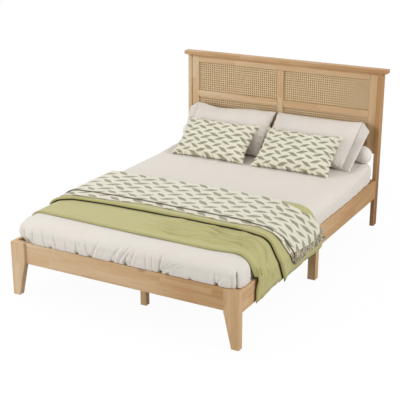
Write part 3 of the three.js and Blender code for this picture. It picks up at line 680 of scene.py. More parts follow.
def shapedMattress(shape):
    x, y, z, way, total, outX, outY, over = mattressPoints(shape)
    atFoot = smooth(-y, 0.93, 0.99) * (outY < -0.5)
    # gathers are shallower across the foot, and straight along the rail
    railed = smooth(-y, 0.9, 0.95) * fall(z, 0.335, 0.365)
    valley = gathers(shape, z, way, total) * (1 - 0.75 * railed) * (1 - 0.5 * atFoot)
    ridge = np.zeros_like(z)
    for low, high, top, depth, width in np.array(footFolds) / 1000:
        # a fold runs from the rail to its top on a slightly bent line, with a ridge beside it
        climb = np.clip((z - shape["gatherFoot"]) / (top - shape["gatherFoot"]), 0, 1.2)
        away = x - low - (high - low) * climb ** 1.25
        fade = depth * atFoot * fall(z, top - 0.055, top)
        fade = fade * (0.45 + 0.55 * np.sin(np.pi * np.clip(climb, 0.15, 0.85)))
        valley += fade * bell(away, width)
        ridge += fade * 0.6 * bell(away - 2.1 * width, 1.2 * width)
    pocket = atFoot * smooth(z, 0.3245, 0.3262) * fall(z, 0.329, 0.347)
    for place, depth in np.array(footPockets) / 1000:
        valley += pocket * depth * bell(x - place, 0.0085)
    cornerX = shape["halfWidth"] - shape["corner"]
    cornerY = shape["halfLength"] - shape["corner"] - shape["middle"]
    for side, (slant, width, length), (share, shift, ridgeWidth), creases in cornerCreases:
        turn = np.degrees(np.arctan2(side * x - cornerX, -(y + cornerY)))
        onCorner = (side * x > 0.6) & (y < -0.9)
        for place, depth, top in creases:
            away = np.radians(turn - place - slant * (z - 0.35)) * 0.11
            fade = onCorner * depth * fall(z, top - length, top)
            valley += fade * bell(away, width)
            ridge += fade * share * bell(away + shift, ridgeWidth)
    valley = valley * smooth(z, 0.27, 0.285) * 1.5
    # under the quilt, and inside the rails, it lies flatter
    under = smooth(y, -0.93, -0.9) * fall(y, -0.12, -0.05)
    valley = valley * (1 - 0.75 * under * smooth(z, 0.34, 0.42))
    push = over + 1.4 * ridge * smooth(z, 0.326, 0.34) * (1 - under)
    push = push - np.minimum(valley, over * smooth(z, 0.324, 0.326) + 0.012)
    dip = shape["hollow"] * (1 + ripple(x, y, 0.35, 5)) * smooth(z, 0.44, 0.462)
    return np.stack([x + outX * push, y + outY * push, z - dip - valley * 0.35 * smooth(z, 0.40, 0.45)], -1)


points = shapedMattress(mattressShape)
faces = gridFaces(*points.shape[:2], closeColumns=True)
mattress = makePiece("sheeted_mattress", points, faces, sheetCloth, weld=2e-5)
dress(mattress, "mattress")
print("mattress made:", len(mattress.data.polygons), "faces")


# Quilt and throw: a folded section carried across the bed, over the shoulders

drapeShape = {
    "flatEnd": 0.62,
    "shoulder": 0.0803,
    "railCentre": (0.7233, 0.3233),
    "railRound": 0.0023,
    "leftTurn": 60.0,
    "hangLength": 0.155,
    "wave": 0.006,
    "waveLength": 0.21,
    "flute": 0.003,
    "puff": 0.0010,
    "puffLength": 0.19,
    "stations": 40,
    "columns": 205,
}


def railLine(shape):
    # the straight stretch from the shoulder to the rail's edge touches both rounds: its outward
    # direction, as an angle above level, and its length
    dx = shape["railCentre"][0] - shape["flatEnd"]
    dz = shape["railCentre"][1] - (bedTop - mattressShape["shoulder"])
    far = math.hypot(dx, dz)
    step = shape["shoulder"] - shape["railRound"]
    return math.atan2(dz, dx) + math.acos(step / far), math.sqrt(far * far - step * step)


def acrossBed(shape, run, lift):
    # run is the way along the cloth from the bed's middle, less than 0 to the left, and lift the
    # height off the mattress: flat, a turn over the shoulder, straight to the rail's edge, a
    # turn there, and straight down. Gives x, z and the length that hangs.
    normal, straight = railLine(shape)
    left = run < 0
    s = abs(run)
    stop = np.where(left, math.radians(90 - shape["leftTurn"]), normal)
    rounded = shape["shoulder"] + lift
    edge = shape["railRound"] + lift
    flat = np.minimum(s, shape["flatEnd"])
    turn = np.clip((s - shape["flatEnd"]) / rounded, 0, math.pi / 2 - stop)
    rest = np.maximum(s - shape["flatEnd"] - rounded * (math.pi / 2 - stop), 0)
    slope = np.minimum(rest, straight)
    bend = np.where(left, 0, np.clip((rest - straight) / edge, 0, stop))
    down = np.where(left, 0, np.maximum(rest - straight - edge * stop, 0))
    x = flat + rounded * np.sin(turn) + slope * np.sin(stop) + edge * (np.cos(stop - bend) - np.cos(stop))
    fall = rounded * (1 - np.cos(turn)) + slope * np.cos(stop) + edge * (np.sin(stop) - np.sin(stop - bend))
    return np.where(left, -x, x), bedTop + lift - fall - down, down


def knots(pairs, at):
    # straight lines from one (way, value) to the next, softened over 2 cm by a running mean
    ways, values = np.array(pairs).T / 1000
    fine = np.arange(-0.9, 1.2, 0.002)
    blur = np.hanning(23)
    line = np.convolve(np.pad(np.interp(fine, ways, values), 11, "edge"), blur / blur.sum(), "valid")
    return np.interp(at, fine, line)


def reachRight(shape, lift, hem):
    # the way from the bed's middle to a hem at that height on the right
    normal, straight = railLine(shape)
    turned = (shape["shoulder"] + lift) * (math.pi / 2 - normal) + (shape["railRound"] + lift) * normal
    reach = shape["flatEnd"] + turned + straight
    return reach + acrossBed(shape, reach, lift)[1] - hem


def foldedSection(cloth):
    # the cloth's middle line seen from the side: out from the lower hem to the crease, half a
    # turn, and back to the upper hem. Gives how far up the bed, lift, half the thickness, the
    # way along, the way to the nearer hem, the outward direction, and which layer.
    low, high, stations = cloth["lowLift"], cloth["highLift"], drapeShape["stations"]
    radius = (high - low) / 2
    crease = cloth["crease"] - radius - cloth["thickness"][1] / 2
    lower, upper, turned = crease - cloth["lowHem"], crease - cloth["highHem"], math.pi * radius
    total = lower + turned + upper
    near, fine = cloth["fine"]   # closer stations along the lower hem, and over the last part
    last = 0.06
    s = np.concatenate([
        near * np.linspace(0, 1, fine, endpoint=False) ** 1.6,
        np.linspace(near, lower, stations, endpoint=False),
        np.linspace(lower, lower + turned, 9, endpoint=False),
        np.linspace(
            lower + turned, total - last, int(stations * (upper - last) / (lower - near)), endpoint=False,
        ),
        total - last * np.linspace(1, 0, 15) ** 2,
    ])
    angle = np.clip((s - lower) / radius, 0, math.pi)
    back = np.maximum(s - lower - turned, 0)
    setback = cloth["lowHem"] + np.minimum(s, lower) - back + radius * np.sin(angle)
    lift = low + radius * (1 - np.cos(angle))
    thick = np.interp(s, [0, lower, total - 0.1, total], cloth["thickness"])
    toHem = np.minimum(s, total - s)
    nose = np.clip(toHem / (thick * 0.6), 0, 1)
    half = thick / 2 * np.sqrt(np.maximum(0, 1 - (1 - nose) ** 2))
    return setback, lift, half, s, toHem, np.sin(angle), -np.cos(angle), angle > math.pi / 2


def pastHem(cloth, run, at):
    # how far up the bed from the cloth's upper hem
    return at - cloth["highHem"] - knots(cloth["highDrift"], run)


def drapedCloth(name, node, cloth, relief, material):
    # two parameters: the way round the folded section, and the share of the way across the bed
    shape = drapeShape
    section = foldedSection(cloth)
    # both sides of the section, one after the other, so that the outline closes on itself
    section = [np.concatenate([values, values[::-1]])[:, None] for values in section]
    nominal, lift, half, s, fromHem, outAlong, outUp, upper = section
    sideSign = np.repeat([1.0, -1.0], len(s) // 2)[:, None]
    share = np.linspace(-1, 1, shape["columns"])
    lead = np.linspace(0, 1, 7)[1:-1] ** 1.5 * 0.012   # closer columns near both selvedges
    share = np.unique(np.concatenate([share, -1 + lead, 1 - lead]))
    rises = [np.interp(nominal, *(np.array(cloth[key]).T / 1000)) for key in ("upperHemRise", "lowerHemRise")]
    right = reachRight(shape, lift, np.where(upper, *rises))
    left = shape["flatEnd"] + (shape["shoulder"] + lift) * math.radians(shape["leftTurn"])
    run = np.where(share < 0, share * left, share * right)
    nose = np.clip(np.minimum(run + left, right - run) / (half * 1.2 + 1e-5), 0, 1)
    offset = half * np.sqrt(np.maximum(0, 1 - (1 - nose) ** 2)) * sideSign
    # the way up the bed: each layer's edge drifts at one end and the crease at the other
    edgeAt = np.where(upper, cloth["highHem"], cloth["lowHem"])
    edgeDrift = np.where(upper, knots(cloth["highDrift"], run), knots(cloth["lowDrift"], run))
    byShare = np.clip((nominal - edgeAt) / (cloth["crease"] - edgeAt), 0, 1)
    drift = edgeDrift + (knots(cloth["creaseDrift"], run) - edgeDrift) * byShare
    at = nominal + offset * outAlong + drift
    # the edges stand off what is below them
    stand = (0.75 + 0.35 * ripple(run, 0 * run, 0.35, 55)) * fall(fromHem, 0.02, 0.045)
    stand = stand * np.where(upper, cloth["stand"][0], cloth["stand"][1] * smooth(run, 0.6, 0.72))
    x, z, down = acrossBed(shape, run, lift + offset * outUp + relief(run, at, upper) + stand)
    hang = down / shape["hangLength"]
    y = footEnd + at
    wave = shape["wave"] / 2 * (1 + np.sin(2 * np.pi * y / shape["waveLength"]))
    flute = shape["flute"] * (1 + ripple(y, 0 * y, 0.075, 21)) * smooth(hang, 0.1, 1.0)
    points = np.stack([x + (cloth["slack"] + wave) * hang + flute, y, z], -1)
    # how far below the fold a face inside it lies, and less than 0 on every other face; the materials paint
    # shadow on those faces from it
    below = np.where(upper, fromHem, pastHem(cloth, run, at))
    maps = {
        "cut": np.stack([run, s + 0 * run], -1),
        "edge": np.stack([right - run, fromHem + 0 * run], -1),
        "fold": np.stack([np.where(sideSign < 0, below, -1), 0 * run], -1),
    }
    piece = makePiece(name, points, gridFaces(*points.shape[:2], closeRows=True), material, maps, weld=2e-5)
    dress(piece, node)
    return piece


def buildQuilt(g):
    across, along = g.cut("cut")
    toSide, toHem = g.cut("edge")
    edge = toSide.least(toHem)
    twill = ((across + along) * (2 * math.pi / 0.0022)).sine()
    cross = ((across - along * 0.4) * (2 * math.pi / 0.0031)).sine()
    cloud = g.noise(across * 6.0, along * 6.0, 0.0, 3.0)
    slub = g.noise(across * 60.0, along * 500.0, 0.0, 2.0)
    colour = g.mix(cloud * 0.6 + slub * 0.4, fabricLook["quilt"], fabricLook["quiltDeep"])
    stitch = (1 - abs(edge - 0.0135).ease(0.0006, 0.0014)) * ((across + along) * 400.0).fract().ease(0.3, 0.4)
    for share, name in (
        ((1 - edge.ease(0.009, 0.012)) * 0.5, "binding"), (stitch * 0.5, "stitch"),
        # painted shadow, near black, on the faces inside the fold
        (g.cut("fold")[0].ease(0.0, 0.005) * 0.95, "quiltFoldShadow"),
    ):
        colour = g.mix(share, colour, fabricLook[name])
    crinkle = g.noise(across * 9.0, along * 26.0, 1.0, 4.0, 0.5, 0.6)
    crinkle = crinkle * (across.ease(-0.2, 0.5) * 2.4 + 1.2)
    relief = twill * 0.05 + cross * 0.03 + slub * 0.1 + crinkle - stitch * 0.8
    return colour, slub * 0.15 + 0.68, g.bump(relief, 0.0012, 0.5)


def leafStrokes(g, across, along, columnPitch, rowPitch, length, width, slants):
    # pointed strokes in columns; every other column is half a row down and slants the other way.
    # A stroke's half width is width / 2 times 1 - |2 t / length| to the 1.3, t along it. As a
    # stroke can reach into the next column, the nearer neighbour's is worked out too.
    ragged = (g.noise(across * 230.0, along * 230.0, 0.0, 2.0) - 0.5) * (width * 0.62)
    first, second = np.radians(slants).tolist()
    own = (across / columnPitch).floor()
    beside = ((across / columnPitch).fract() > 0.5) * 2.0 - 1.0
    shapes = []
    for column in (own, own + beside):
        odd = column % 2.0
        inColumn = across - (column + 0.5) * columnPitch
        shifted = along / rowPitch + odd * 0.5
        row = shifted.floor()
        inRow = (shifted.fract() - 0.5) * rowPitch
        lean = (g.chance(column, row, 5.0) - 0.5) * 0.16
        slant = odd * (second - first) + first + lean
        cosine, sine = slant.cosine(), slant.sine()
        size = g.chance(column, row, 1.0) * 0.25 + 0.88
        t = abs((inColumn * cosine + inRow * sine) / (size * (length / 2)))
        body = (1 - t.least(1.0) ** 1.3) * size * (width / 2)
        off = abs(inRow * cosine - inColumn * sine + ragged)
        shapes.append((body - off).ease(-0.0010, 0.0022) * (body > 0.0008))
    return shapes[0].most(shapes[1])


leafLook = {
    # shift of the pattern; column and row pitch, length, width and slants of the strokes; and the
    # speckled band at the side hem: its middle width and how far that swings
    "throw": {
        "shift": (2.0125, 1.0115), "stroke": (0.071, 0.087, 0.104, 0.0358, (31, -27)), "band": (0.059, 0.016),
    },
    "cushion": {"shift": (2.0449, 1.0025), "stroke": (0.0546, 0.053, 0.082, 0.0232, (22, -22)), "band": None},
}


def buildLeafCloth(look):
    def build(g):
        across, along = g.cut("cut")
        inside = leafStrokes(g, across + look["shift"][0], along + look["shift"][1], *look["stroke"])
        fibre = g.noise(across * 120.0, along * 900.0, 0.0, 2.0)
        weft = (along * (2 * math.pi / 0.0026)).sine()
        warp = (across * (2 * math.pi / 0.0034)).sine()
        worn = g.noise(across * 110.0, along * 300.0, 3.0, 2.0).ease(0.3, 0.62)
        leaf = g.mix(g.noise(across * 12.0, along * 12.0, 5.0), fabricLook["leaf"], fabricLook["leafDeep"])
        ground = g.mix(fibre, fabricLook["ground"], fabricLook["groundShade"])
        colour = g.mix(inside * (worn * 0.28 + 0.72), ground, leaf)
        relief = weft * warp * 0.3 + fibre * 0.3 + inside * 0.25
        if look["band"]:
            toSide, toHem = g.cut("edge")
            middle, swing = look["band"]
            width = (along * 15.0 + 0.607).sine() * swing + middle
            width = width + (g.noise(along * 260.0, toSide * 60.0, 0.0, 1.0) - 0.5) * 0.006
            patch = g.noise(along * 42.0, toSide * 34.0, 1.0, 2.0).ease(0.36, 0.66)
            speck = g.chance((along * 230.0).floor(), (toSide * 200.0).floor(), 2.0)
            dark = (speck * 0.62 + patch * 0.38).ease(0.32, 0.62)
            band = g.mix(dark, fabricLook["bandPale"], fabricLook["bandDark"])
            colour = g.mix((width - toSide).ease(-0.001, 0.001), colour, band)
            # painted shadow line: browner within 6 mm of each hem
            colour = g.mix((1 - toHem.ease(0.0035, 0.0060)) * 0.4, colour, fabricLook["throwHem"])
            # painted shadow, near black, on the faces inside the fold
            colour = g.mix(g.cut("fold")[0].ease(0.0, 0.006) * 0.92, colour, fabricLook["throwFoldShadow"])
        return colour, fibre * 0.15 + 0.75, g.bump(relief, 0.0012, 0.6)
    return build


quiltCotton = makeMaterial("quiltCotton", buildQuilt, {"Sheen Weight": 0.18, "Sheen Roughness": 0.4})
throwWeave = makeMaterial("throwWeave", buildLeafCloth(leafLook["throw"]), wovenSheen)

# where the hems and creases lie. In mm: drift pairs are (run, way up the bed from the nominal
# place) and rise pairs (nominal place, height of the lower end on the right)
quiltShape = {
    "lowHem": 0.137, "crease": 0.956, "highHem": 0.396, "lowLift": 0.0049, "highLift": 0.0182,
    "thickness": (0.010, 0.0095, 0.014, 0.015), "stand": (0.0065, 0.0060),
    "fine": (0.31, 72), "slack": 0.0,
    "ridge": (0.0055, 7.5, -0.0045),    # middle height, swing about it and lowest
    "lowerHemRise": ((137, 190), (220, 200), (396, 207), (930, 213), (956, 228)),
    "upperHemRise": ((396, 194), (460, 211), (600, 214), (800, 210), (925, 203), (945, 210), (956, 228)),
    "lowDrift": (
        (-690, 22), (-480, 18), (-270, 10), (0, 0), (500, -8), (620, 12), (700, 14), (750, 26), (790, 31),
        (820, 44), (880, 34), (970, 30),
    ),
    "highDrift": (
        (-690, -48), (-630, -30), (-580, 6), (-530, 12), (-376, 28), (-146, 32), (136, 35), (483, 29),
        (581, 16), (633, 2), (668, 9), (700, 13), (734, 16), (776, 25), (826, 41), (873, 62), (914, 76),
        (965, 94),
    ),
    "creaseDrift": (
        (-690, -48), (-500, 0), (562, 5), (638, 0), (676, 9), (710, 21), (739, 24), (830, 55), (930, 87),
        (970, 87),
    ),
}
throwShape = {
    "lowHem": 0.462, "crease": 0.948, "highHem": 0.531, "lowLift": 0.0283, "highLift": 0.0331,
    "thickness": (0.0036, 0.0036, 0.0036, 0.0038), "stand": (0.0045, 0.0050),
    "fine": (0.08, 18), "slack": 0.003,
    "lowerHemRise": ((462, 263), (948, 268)),
    "upperHemRise": ((531, 250), (700, 262), (948, 252)),
    "lowDrift": (
        (-580, -39), (-330, 7), (-140, 43), (70, 32), (460, 10), (540, 26), (590, 26), (633, 12), (658, 9),
        (691, 18), (727, 23), (771, 47), (821, 74), (871, 104), (922, 138),
    ),
    "highDrift": (
        (-648, -26), (-544, -6), (-376, 6), (-193, 13), (44, 7), (427, 3), (493, -5), (558, -24), (623, -35),
        (673, -38), (708, -23), (748, 8), (798, 34), (838, 59), (861, 72), (903, 67), (935, 85),
    ),
    "creaseDrift": (
        (-570, -4), (-180, 6), (0, 14), (383, -2), (516, -15), (645, -87), (696, -81), (726, -39), (754, -13),
        (793, 17), (824, 42), (853, 59), (888, 77), (930, 109),
    ),
}
# low ridges pulled down over the right shoulder, in mm: from and to (run, way up the bed), height
# and width
quiltPulls = (
    (600, 180, 900, 192, 8, 11), (880, 205, 640, 305, 11.5, 12), (920, 255, 700, 365, 11.5, 13),
    (940, 335, 820, 410, 8, 12), (480, 238, 740, 258, 6.5, 9), (380, 296, 680, 335, 6, 10),
    (860, 168, 720, 215, 7, 9),
)


def pulls(run, at, lines):
    # each ridge is its height times a bell curve across a straight line, eased out at both ends
    total = 0
    for x0, y0, x1, y1, height, width in np.array(lines) / 1000:
        length = math.hypot(x1 - x0, y1 - y0)
        ux, uy = (x1 - x0) / length, (y1 - y0) / length
        along = ((run - x0) * ux + (at - y0) * uy) / length
        ends = smooth(along, -0.1, 0.3) * fall(along, 0.7, 1.1)
        total = total + height * bell((at - y0) * ux - (run - x0) * uy, width) * ends
    return total


def puff(run, at):
    return drapeShape["puff"] * (1 + ripple(run, at, drapeShape["puffLength"], 32))


def quiltRelief(run, at, upper):
    # a gentle puff all over, the same for each layer, and long low ridges and pulls on the bare
    # lower layer, lower on the drop
    hem = pastHem(quiltShape, run, at)
    bent = at + 0.012 * ripple(run, at, 0.5, 33)
    ridges = 0.6 * ripple(run * 0.10, bent, 0.025, 31) + 0.4 * ripple(run * 0.16, bent, 0.05, 34)
    shown = smooth(at, 0.16, 0.20) * fall(hem, -0.025, 0.0) * smooth(run, -0.15, 0.30)
    height, swing, lowest = quiltShape["ridge"]
    ridges = np.maximum(height * (1 + swing * ridges), lowest) * shown * (1 - 0.5 * smooth(run, 0.60, 0.74))
    ridges = ridges + pulls(run, at, quiltPulls) * fall(hem, -0.02, 0.0)
    return puff(run, at) + ridges * (1 - upper)


def throwRelief(run, at, upper):
    # the throw follows the quilt below it, and rises with the quilt's upper hem
    hem = pastHem(quiltShape, run, at)
    return puff(run, at) + quiltShape["stand"][0] * 1.1 * fall(hem, 0.02, 0.045)


quilt = drapedCloth(
    "folded_quilt", "quilt", quiltShape, quiltRelief, quiltCotton,
)
drapedCloth("woven_throw", "throw", throwShape, throwRelief, throwWeave)


# Pillows, cushions and bolster: closed pads, blown up as cloth and then set in place

padStyles = {
    "pillow": {
        "height": 0.385, "crown": 0.054, "rim": 0.005, "drawIn": 0.010, "lean": 41.5, "voxel": 0.006,
        "cap": 0.012,
        "pressure": 4.0, "fill": 0.65, "scallop": 0.052, "gather": 0.0080, "slump": 0.007, "slot": "sheet",
        "hemForward": {-1: 0.006, 1: 0.018}, "footDroop": 0.016, "sag": 0.020,
    },
    "cushion": {
        "height": 0.345, "crown": 0.042, "rim": 0.004, "drawIn": 0.055, "lean": 38.0, "voxel": 0.005,
        "cap": 0.011,
        "pressure": 4.0, "fill": 0.75, "scallop": 0.043, "gather": 0.0125, "slump": 0.004,
        "slot": "patterned",
    },
}
# style, side, middle, width, hem past the outer side, how far that side leans in at its foot, how
# far the hem's upper corner droops, and the shift of the pattern
padPlaces = {
    "pillow_left": ("pillow", -1, (-0.3105, 0.8251, 0.5967), 0.625, 0.042, 0.055, 0.046, (0.0, 0.0)),
    "pillow_right": ("pillow", 1, (0.3105, 0.8251, 0.5967), 0.633, 0.067, 0.030, 0.074, (0.0, 0.0)),
    "cushion_left": ("cushion", -1, (-0.301, 0.6219, 0.5663), 0.562, 0.0, 0.0, 0.0, (0.0, 0.0)),
    "cushion_right": ("cushion", 1, (0.301, 0.6219, 0.5663), 0.562, 0.0, 0.0, 0.0, (-0.003, 0.012)),
}


def padPoints(style, side, across=110, up=70):
    # two crowned faces: half the thickness is rim + crown f(u) f(v), where f(t) is
    # (1 - |t| to the 2.6) to the 0.6, and the sides draw in between the corners. A hem runs on
    # past the outer side at the rim's thickness.
    u = np.sin(np.linspace(-0.5, 0.5, across) * np.pi)[:, None]
    v = np.sin(np.linspace(-0.5, 0.5, up) * np.pi)[None, :]
    fade = lambda t: np.maximum(0, 1 - abs(t) ** 2.6) ** 0.6
    x = style["width"] / 2 * u * (1 - style["drawIn"] * (1 - v ** 2))
    y = style["height"] / 2 * v * (1 - style["drawIn"] * (1 - u ** 2))
    half = style["rim"] + style["crown"] * fade(u) * fade(v)
    if style["hem"]:
        steps = np.linspace(0, 1, 14)[1:, None]
        x = np.concatenate([x, x[-1] + steps * (style["hem"] + style["width"] / 2 - x[-1])])
        y = np.concatenate([y, y[-1] + 0 * steps])
        half = np.concatenate([half, style["rim"] + 0 * (steps * v)])
    return np.stack([x * side, y, half], -1), np.stack([x * side, y, -half], -1)


def closedPad(name, style, side):
    front, back = padPoints(style, side)
    rows, columns = front.shape[:2]
    total = rows * columns
    # the wall between the two faces, all round
    i, j = np.arange(rows), np.arange(columns)
    rim = np.concatenate([
        i[:-1] * columns, total - columns + j[:-1], i[:0:-1] * columns + columns - 1, j[:0:-1],
    ])
    after = np.roll(rim, -1)
    wall = np.stack([rim, after, after + total, rim + total], 1)
    faces = gridFaces(rows, columns)
    return makePiece(name, [front, back], np.concatenate([faces, faces + total, wall]), sheetCloth)


def evenMesh(piece, voxel):
    # a new mesh of even squares of that size over the same shape
    modifier = piece.modifiers.new("even", "REMESH")
    modifier.mode = "VOXEL"
    modifier.voxel_size = voxel
    modifier.use_smooth_shade = True
    made = bpy.data.meshes.new_from_object(piece.evaluated_get(bpy.context.evaluated_depsgraph_get()))
    old = piece.data
    piece.modifiers.clear()
    piece.data = made
    bpy.data.meshes.remove(old)
    return readPoints(made)


def blowUp(piece, style, held=None):
    # cloth under pressure from inside; each point's travel d becomes cap times tanh(d / cap)
    start = readPoints(piece.data)
    cloth = piece.modifiers.new("blown", "CLOTH")
    cloth.settings.quality = 4
    cloth.settings.use_pressure = True
    cloth.settings.uniform_pressure_force = style["pressure"]
    cloth.settings.effector_weights.gravity = 0
    if held is not None:
        group = piece.vertex_groups.new(name="held")
        group.add(np.flatnonzero(held).tolist(), 1.0, "REPLACE")
        cloth.settings.vertex_group_mass = "held"
    for step in range(1, 21):
        bpy.context.scene.frame_set(step)
    shift = readPoints(piece.evaluated_get(bpy.context.evaluated_depsgraph_get()).data) - start
    piece.modifiers.clear()
    piece.vertex_groups.clear()
    bpy.context.scene.frame_set(1)
    size = np.maximum(np.linalg.norm(shift, axis=1, keepdims=True), 1e-9)
    return start + shift / size * style["cap"] * np.tanh(size / style["cap"])


def pucker(flat, moved, style, side, seed):
    # gathers along the seam: g is the size of a sine along it, 0 where the thread pulls in and 1
    # where the cloth billows out; in the pad's plane and in its thickness, fading inwards
    w, h, wave = style["width"] / 2, style["height"] / 2, style["scallop"]
    x, y = flat[:, 0] * side, flat[:, 1]
    toX = w * (1 - style["drawIn"] * (1 - np.clip(y / h, -1, 1) ** 2)) - abs(x)
    toY = h * (1 - style["drawIn"] * (1 - np.clip(x / w, -1, 1) ** 2)) - abs(y)
    near = np.maximum(np.minimum(toX, toY), 0)
    onSide = toX < toY
    way = np.where(onSide, y, x + 3.0 * np.sign(y)) + np.where(onSide, 7.0 * np.sign(x), 0)
    g = abs(np.sin(np.pi * way / wave + 1.3 * ripple(way, 0 * way, 0.16, seed, 5))) ** 0.8
    size = style["gather"] * (0.75 + 0.45 * ripple(way, 0 * way, 0.11, seed + 1, 4))
    inwards = 1.0
    if style["hem"]:
        inwards = 0.5
        size = size * np.where(onSide & (x > 0), 0, np.where(onSide, 1.7, 0.5)) * (x < w)
    edge, inwardWay = np.exp(-near / 0.020), near / 0.018   # how far the gathers and billows reach
    inner = inwardWay * np.exp(1 - inwardWay)
    out = np.stack([np.where(onSide, np.sign(flat[:, 0]), 0), np.where(onSide, 0, np.sign(y))], 1)
    moved[:, :2] -= out * (inwards * size * (1 - g) * edge)[:, None]
    moved[:, 2] += np.sign(moved[:, 2]) * size * 0.60 * (g - 0.55) * inner
    moved[:, 2] += 0.35 * size * ripple(way, near, 0.06, seed + 2, 4) * edge


def slump(flat, moved, seed, depth, wave=0.16):
    # soft hollows over the face, deeper than they rise
    dent = depth * (ripple(flat[:, 0], flat[:, 1], wave, seed) - 0.35) * np.sign(moved[:, 2])
    moved[:, 2] += dent * smooth(abs(moved[:, 2]), 0.004, 0.03)


def settleCase(moved, style, side):
    # a pillow's hem droops at its upper corner and comes forward, its outer side leans in at the
    # foot, and the left one's upper edge sags: way in = lean (1/2 - v) u, fall = droop t (v + 1/2)
    w, h = style["width"] / 2, style["height"]
    u, v = moved[:, 0] * side, moved[:, 1] / h
    low, high = np.clip(0.5 - v, 0, 1), np.clip(v + 0.5, 0, 1)
    t = np.clip((u - w + 0.004) / style["hem"], 0, 1.1)
    moved[:, 1] -= style["droop"] * t * high + style["footDroop"] * t * low
    moved[:, 0] -= side * style["leanIn"] * low * np.clip(u / w, 0, 1.3)
    moved[:, 2] += 0.0035 * ripple(u * 1.5, moved[:, 1], 0.16, 91) * t + style["hemForward"][side] * t
    if side < 0:
        moved[:, 1] -= style["sag"] * bell(u - 0.10, 0.13) * smooth(v, 0.0, 0.5)


def setPad(points, lean, place):
    # leaned back about x, moved to its place, and never below the mattress's face
    c, s = math.cos(math.radians(lean)), math.sin(math.radians(lean))
    x, y, z = points.T
    points = np.stack([x, y * c - z * s, y * s + z * c], 1) + np.array(place)
    low, ease = bedTop + 0.0006, 0.004
    under = points[:, 2] < low + ease
    points[under, 2] = low + ease * np.exp((points[under, 2] - low - ease) / ease)
    return points


def finishPad(piece, points, material, body):
    # the settled shape, its cloth and one subdivision
    writePoints(piece.data, points)
    piece.data.materials.clear()
    piece.data.materials.append(material)
    modifier = piece.modifiers.new("finer", "SUBSURF")
    modifier.levels = modifier.render_levels = 1
    dress(piece, body)
    print(body, "filled:", len(piece.data.polygons), "faces")


def buildPillowCase(g):
    across, along = g.cut("cut")
    x, y, z, colour, slub, relief = linen(g, "case", "caseShade", 6.0)
    wander = (g.noise(along * 26.0, x * 4.0, 0.0, 2.0) - 0.5) * 0.005
    # the sewn line of the hem, where across, less the pad's half width, is a little under 0
    seam = 1 - abs(across + wander + 0.003).ease(0.0007, 0.0020)
    crease = g.noise(x * 13.0, y * 18.0, z * 18.0, 4.0, 0.55, 1.1)
    relief = g.bump(relief + crease * 2.6 - seam, 0.0016, 0.6)
    return g.mix(seam * 0.75, colour, fabricLook["seam"]), slub * 0.1 + 0.78, relief


covers = {
    "pillow": makeMaterial("pillowCase", buildPillowCase, washedSheen),
    "cushion": makeMaterial("cushionWeave", buildLeafCloth(leafLook["cushion"]), wovenSheen),
}
for k, (nodeName, (kind, side, place, width, hem, leanIn, droop, shift)) in enumerate(padPlaces.items()):
    style = {**padStyles[kind], "width": width, "hem": hem, "leanIn": leanIn, "droop": droop}
    pad = closedPad(f"soft_{nodeName}", style, side)
    flat = evenMesh(pad, style["voxel"])
    onCase = flat * (side, 1, 1) - (width / 2, 0, 0) if hem else flat + (*shift, 0)
    setMap(pad.data, "cut", onCase[:, :2])
    moved = blowUp(pad, style, (flat[:, 0] * side > width / 2 - 0.012) if hem else None)
    pucker(flat, moved, style, side, 40 + 5 * k)
    slump(flat, moved, 60 + k, style["slump"])
    if hem:
        settleCase(moved, style, side)
    finishPad(pad, setPad(moved, style["lean"], place), covers[kind], nodeName)


bolsterShape = {
    "radius": 0.053,
    "endRadius": 0.0605,
    "length": 1.431,
    "round": 0.054,
    "drop": 0.007,
    "centre": (-0.0105, 0.928, 0.5196),
    "endFold": 0.0030,
    "crease": 0.0018,
    "voxel": 0.008,
    "pressure": 4.0,
    "cap": 0.003,
    "fill": 0.8,
}


def bolsterPoints(shape, around=96, along=240):
    # a round bar, stouter at both ends where it lies over the shoulders: the radius falls away
    # at the very ends as a quarter of a circle
    t = np.linspace(-1, 1, along)
    x = np.sign(t) * abs(t) ** 0.9 * shape["length"] / 2
    nose = np.clip((shape["length"] / 2 - abs(x)) / shape["round"], 0, 1)
    full = np.interp(abs(x), [0.60, 0.67], [shape["radius"], shape["endRadius"]])
    r = full - shape["round"] * (1 - np.sqrt(1 - (1 - nose) ** 2))
    cap = np.linspace(0, 1, 8)[:-1]
    r = np.concatenate([r[0] * cap, r, r[-1] * cap[::-1]])[:, None]
    x = np.pad(x, 7, "edge")[:, None]
    angle = np.arange(around) / around * 2 * np.pi
    return np.stack(np.broadcast_arrays(x, r * np.cos(angle), r * np.sin(angle)), -1)


points = bolsterPoints(bolsterShape)
bolster = makePiece("soft_bolster", points, gridFaces(*points.shape[:2], closeColumns=True), sheetCloth)
flat = evenMesh(bolster, bolsterShape["voxel"])
moved = blowUp(bolster, bolsterShape)
radial = moved[:, 1:] / np.maximum(np.linalg.norm(moved[:, 1:], axis=1, keepdims=True), 1e-6)
turn = np.arctan2(moved[:, 2], moved[:, 1])
toEnd = bolsterShape["length"] / 2 - abs(flat[:, 0])
folds = bolsterShape["endFold"] * (ripple(turn, flat[:, 0] * 4, 0.55, 81) - 0.4)
folds = folds * smooth(-toEnd, -0.11, -0.02)
folds += bolsterShape["crease"] * (ripple(flat[:, 0], turn * 0.06, 0.10, 82) - 0.4)
moved[:, 1:] += radial * folds[:, None]
moved[:, 2] -= bolsterShape["drop"] * smooth(abs(flat[:, 0]), 0.62, 0.70)
finishPad(bolster, moved + bolsterShape["centre"], litBolsterCloth, "bolster")


# Floor, world and lamps

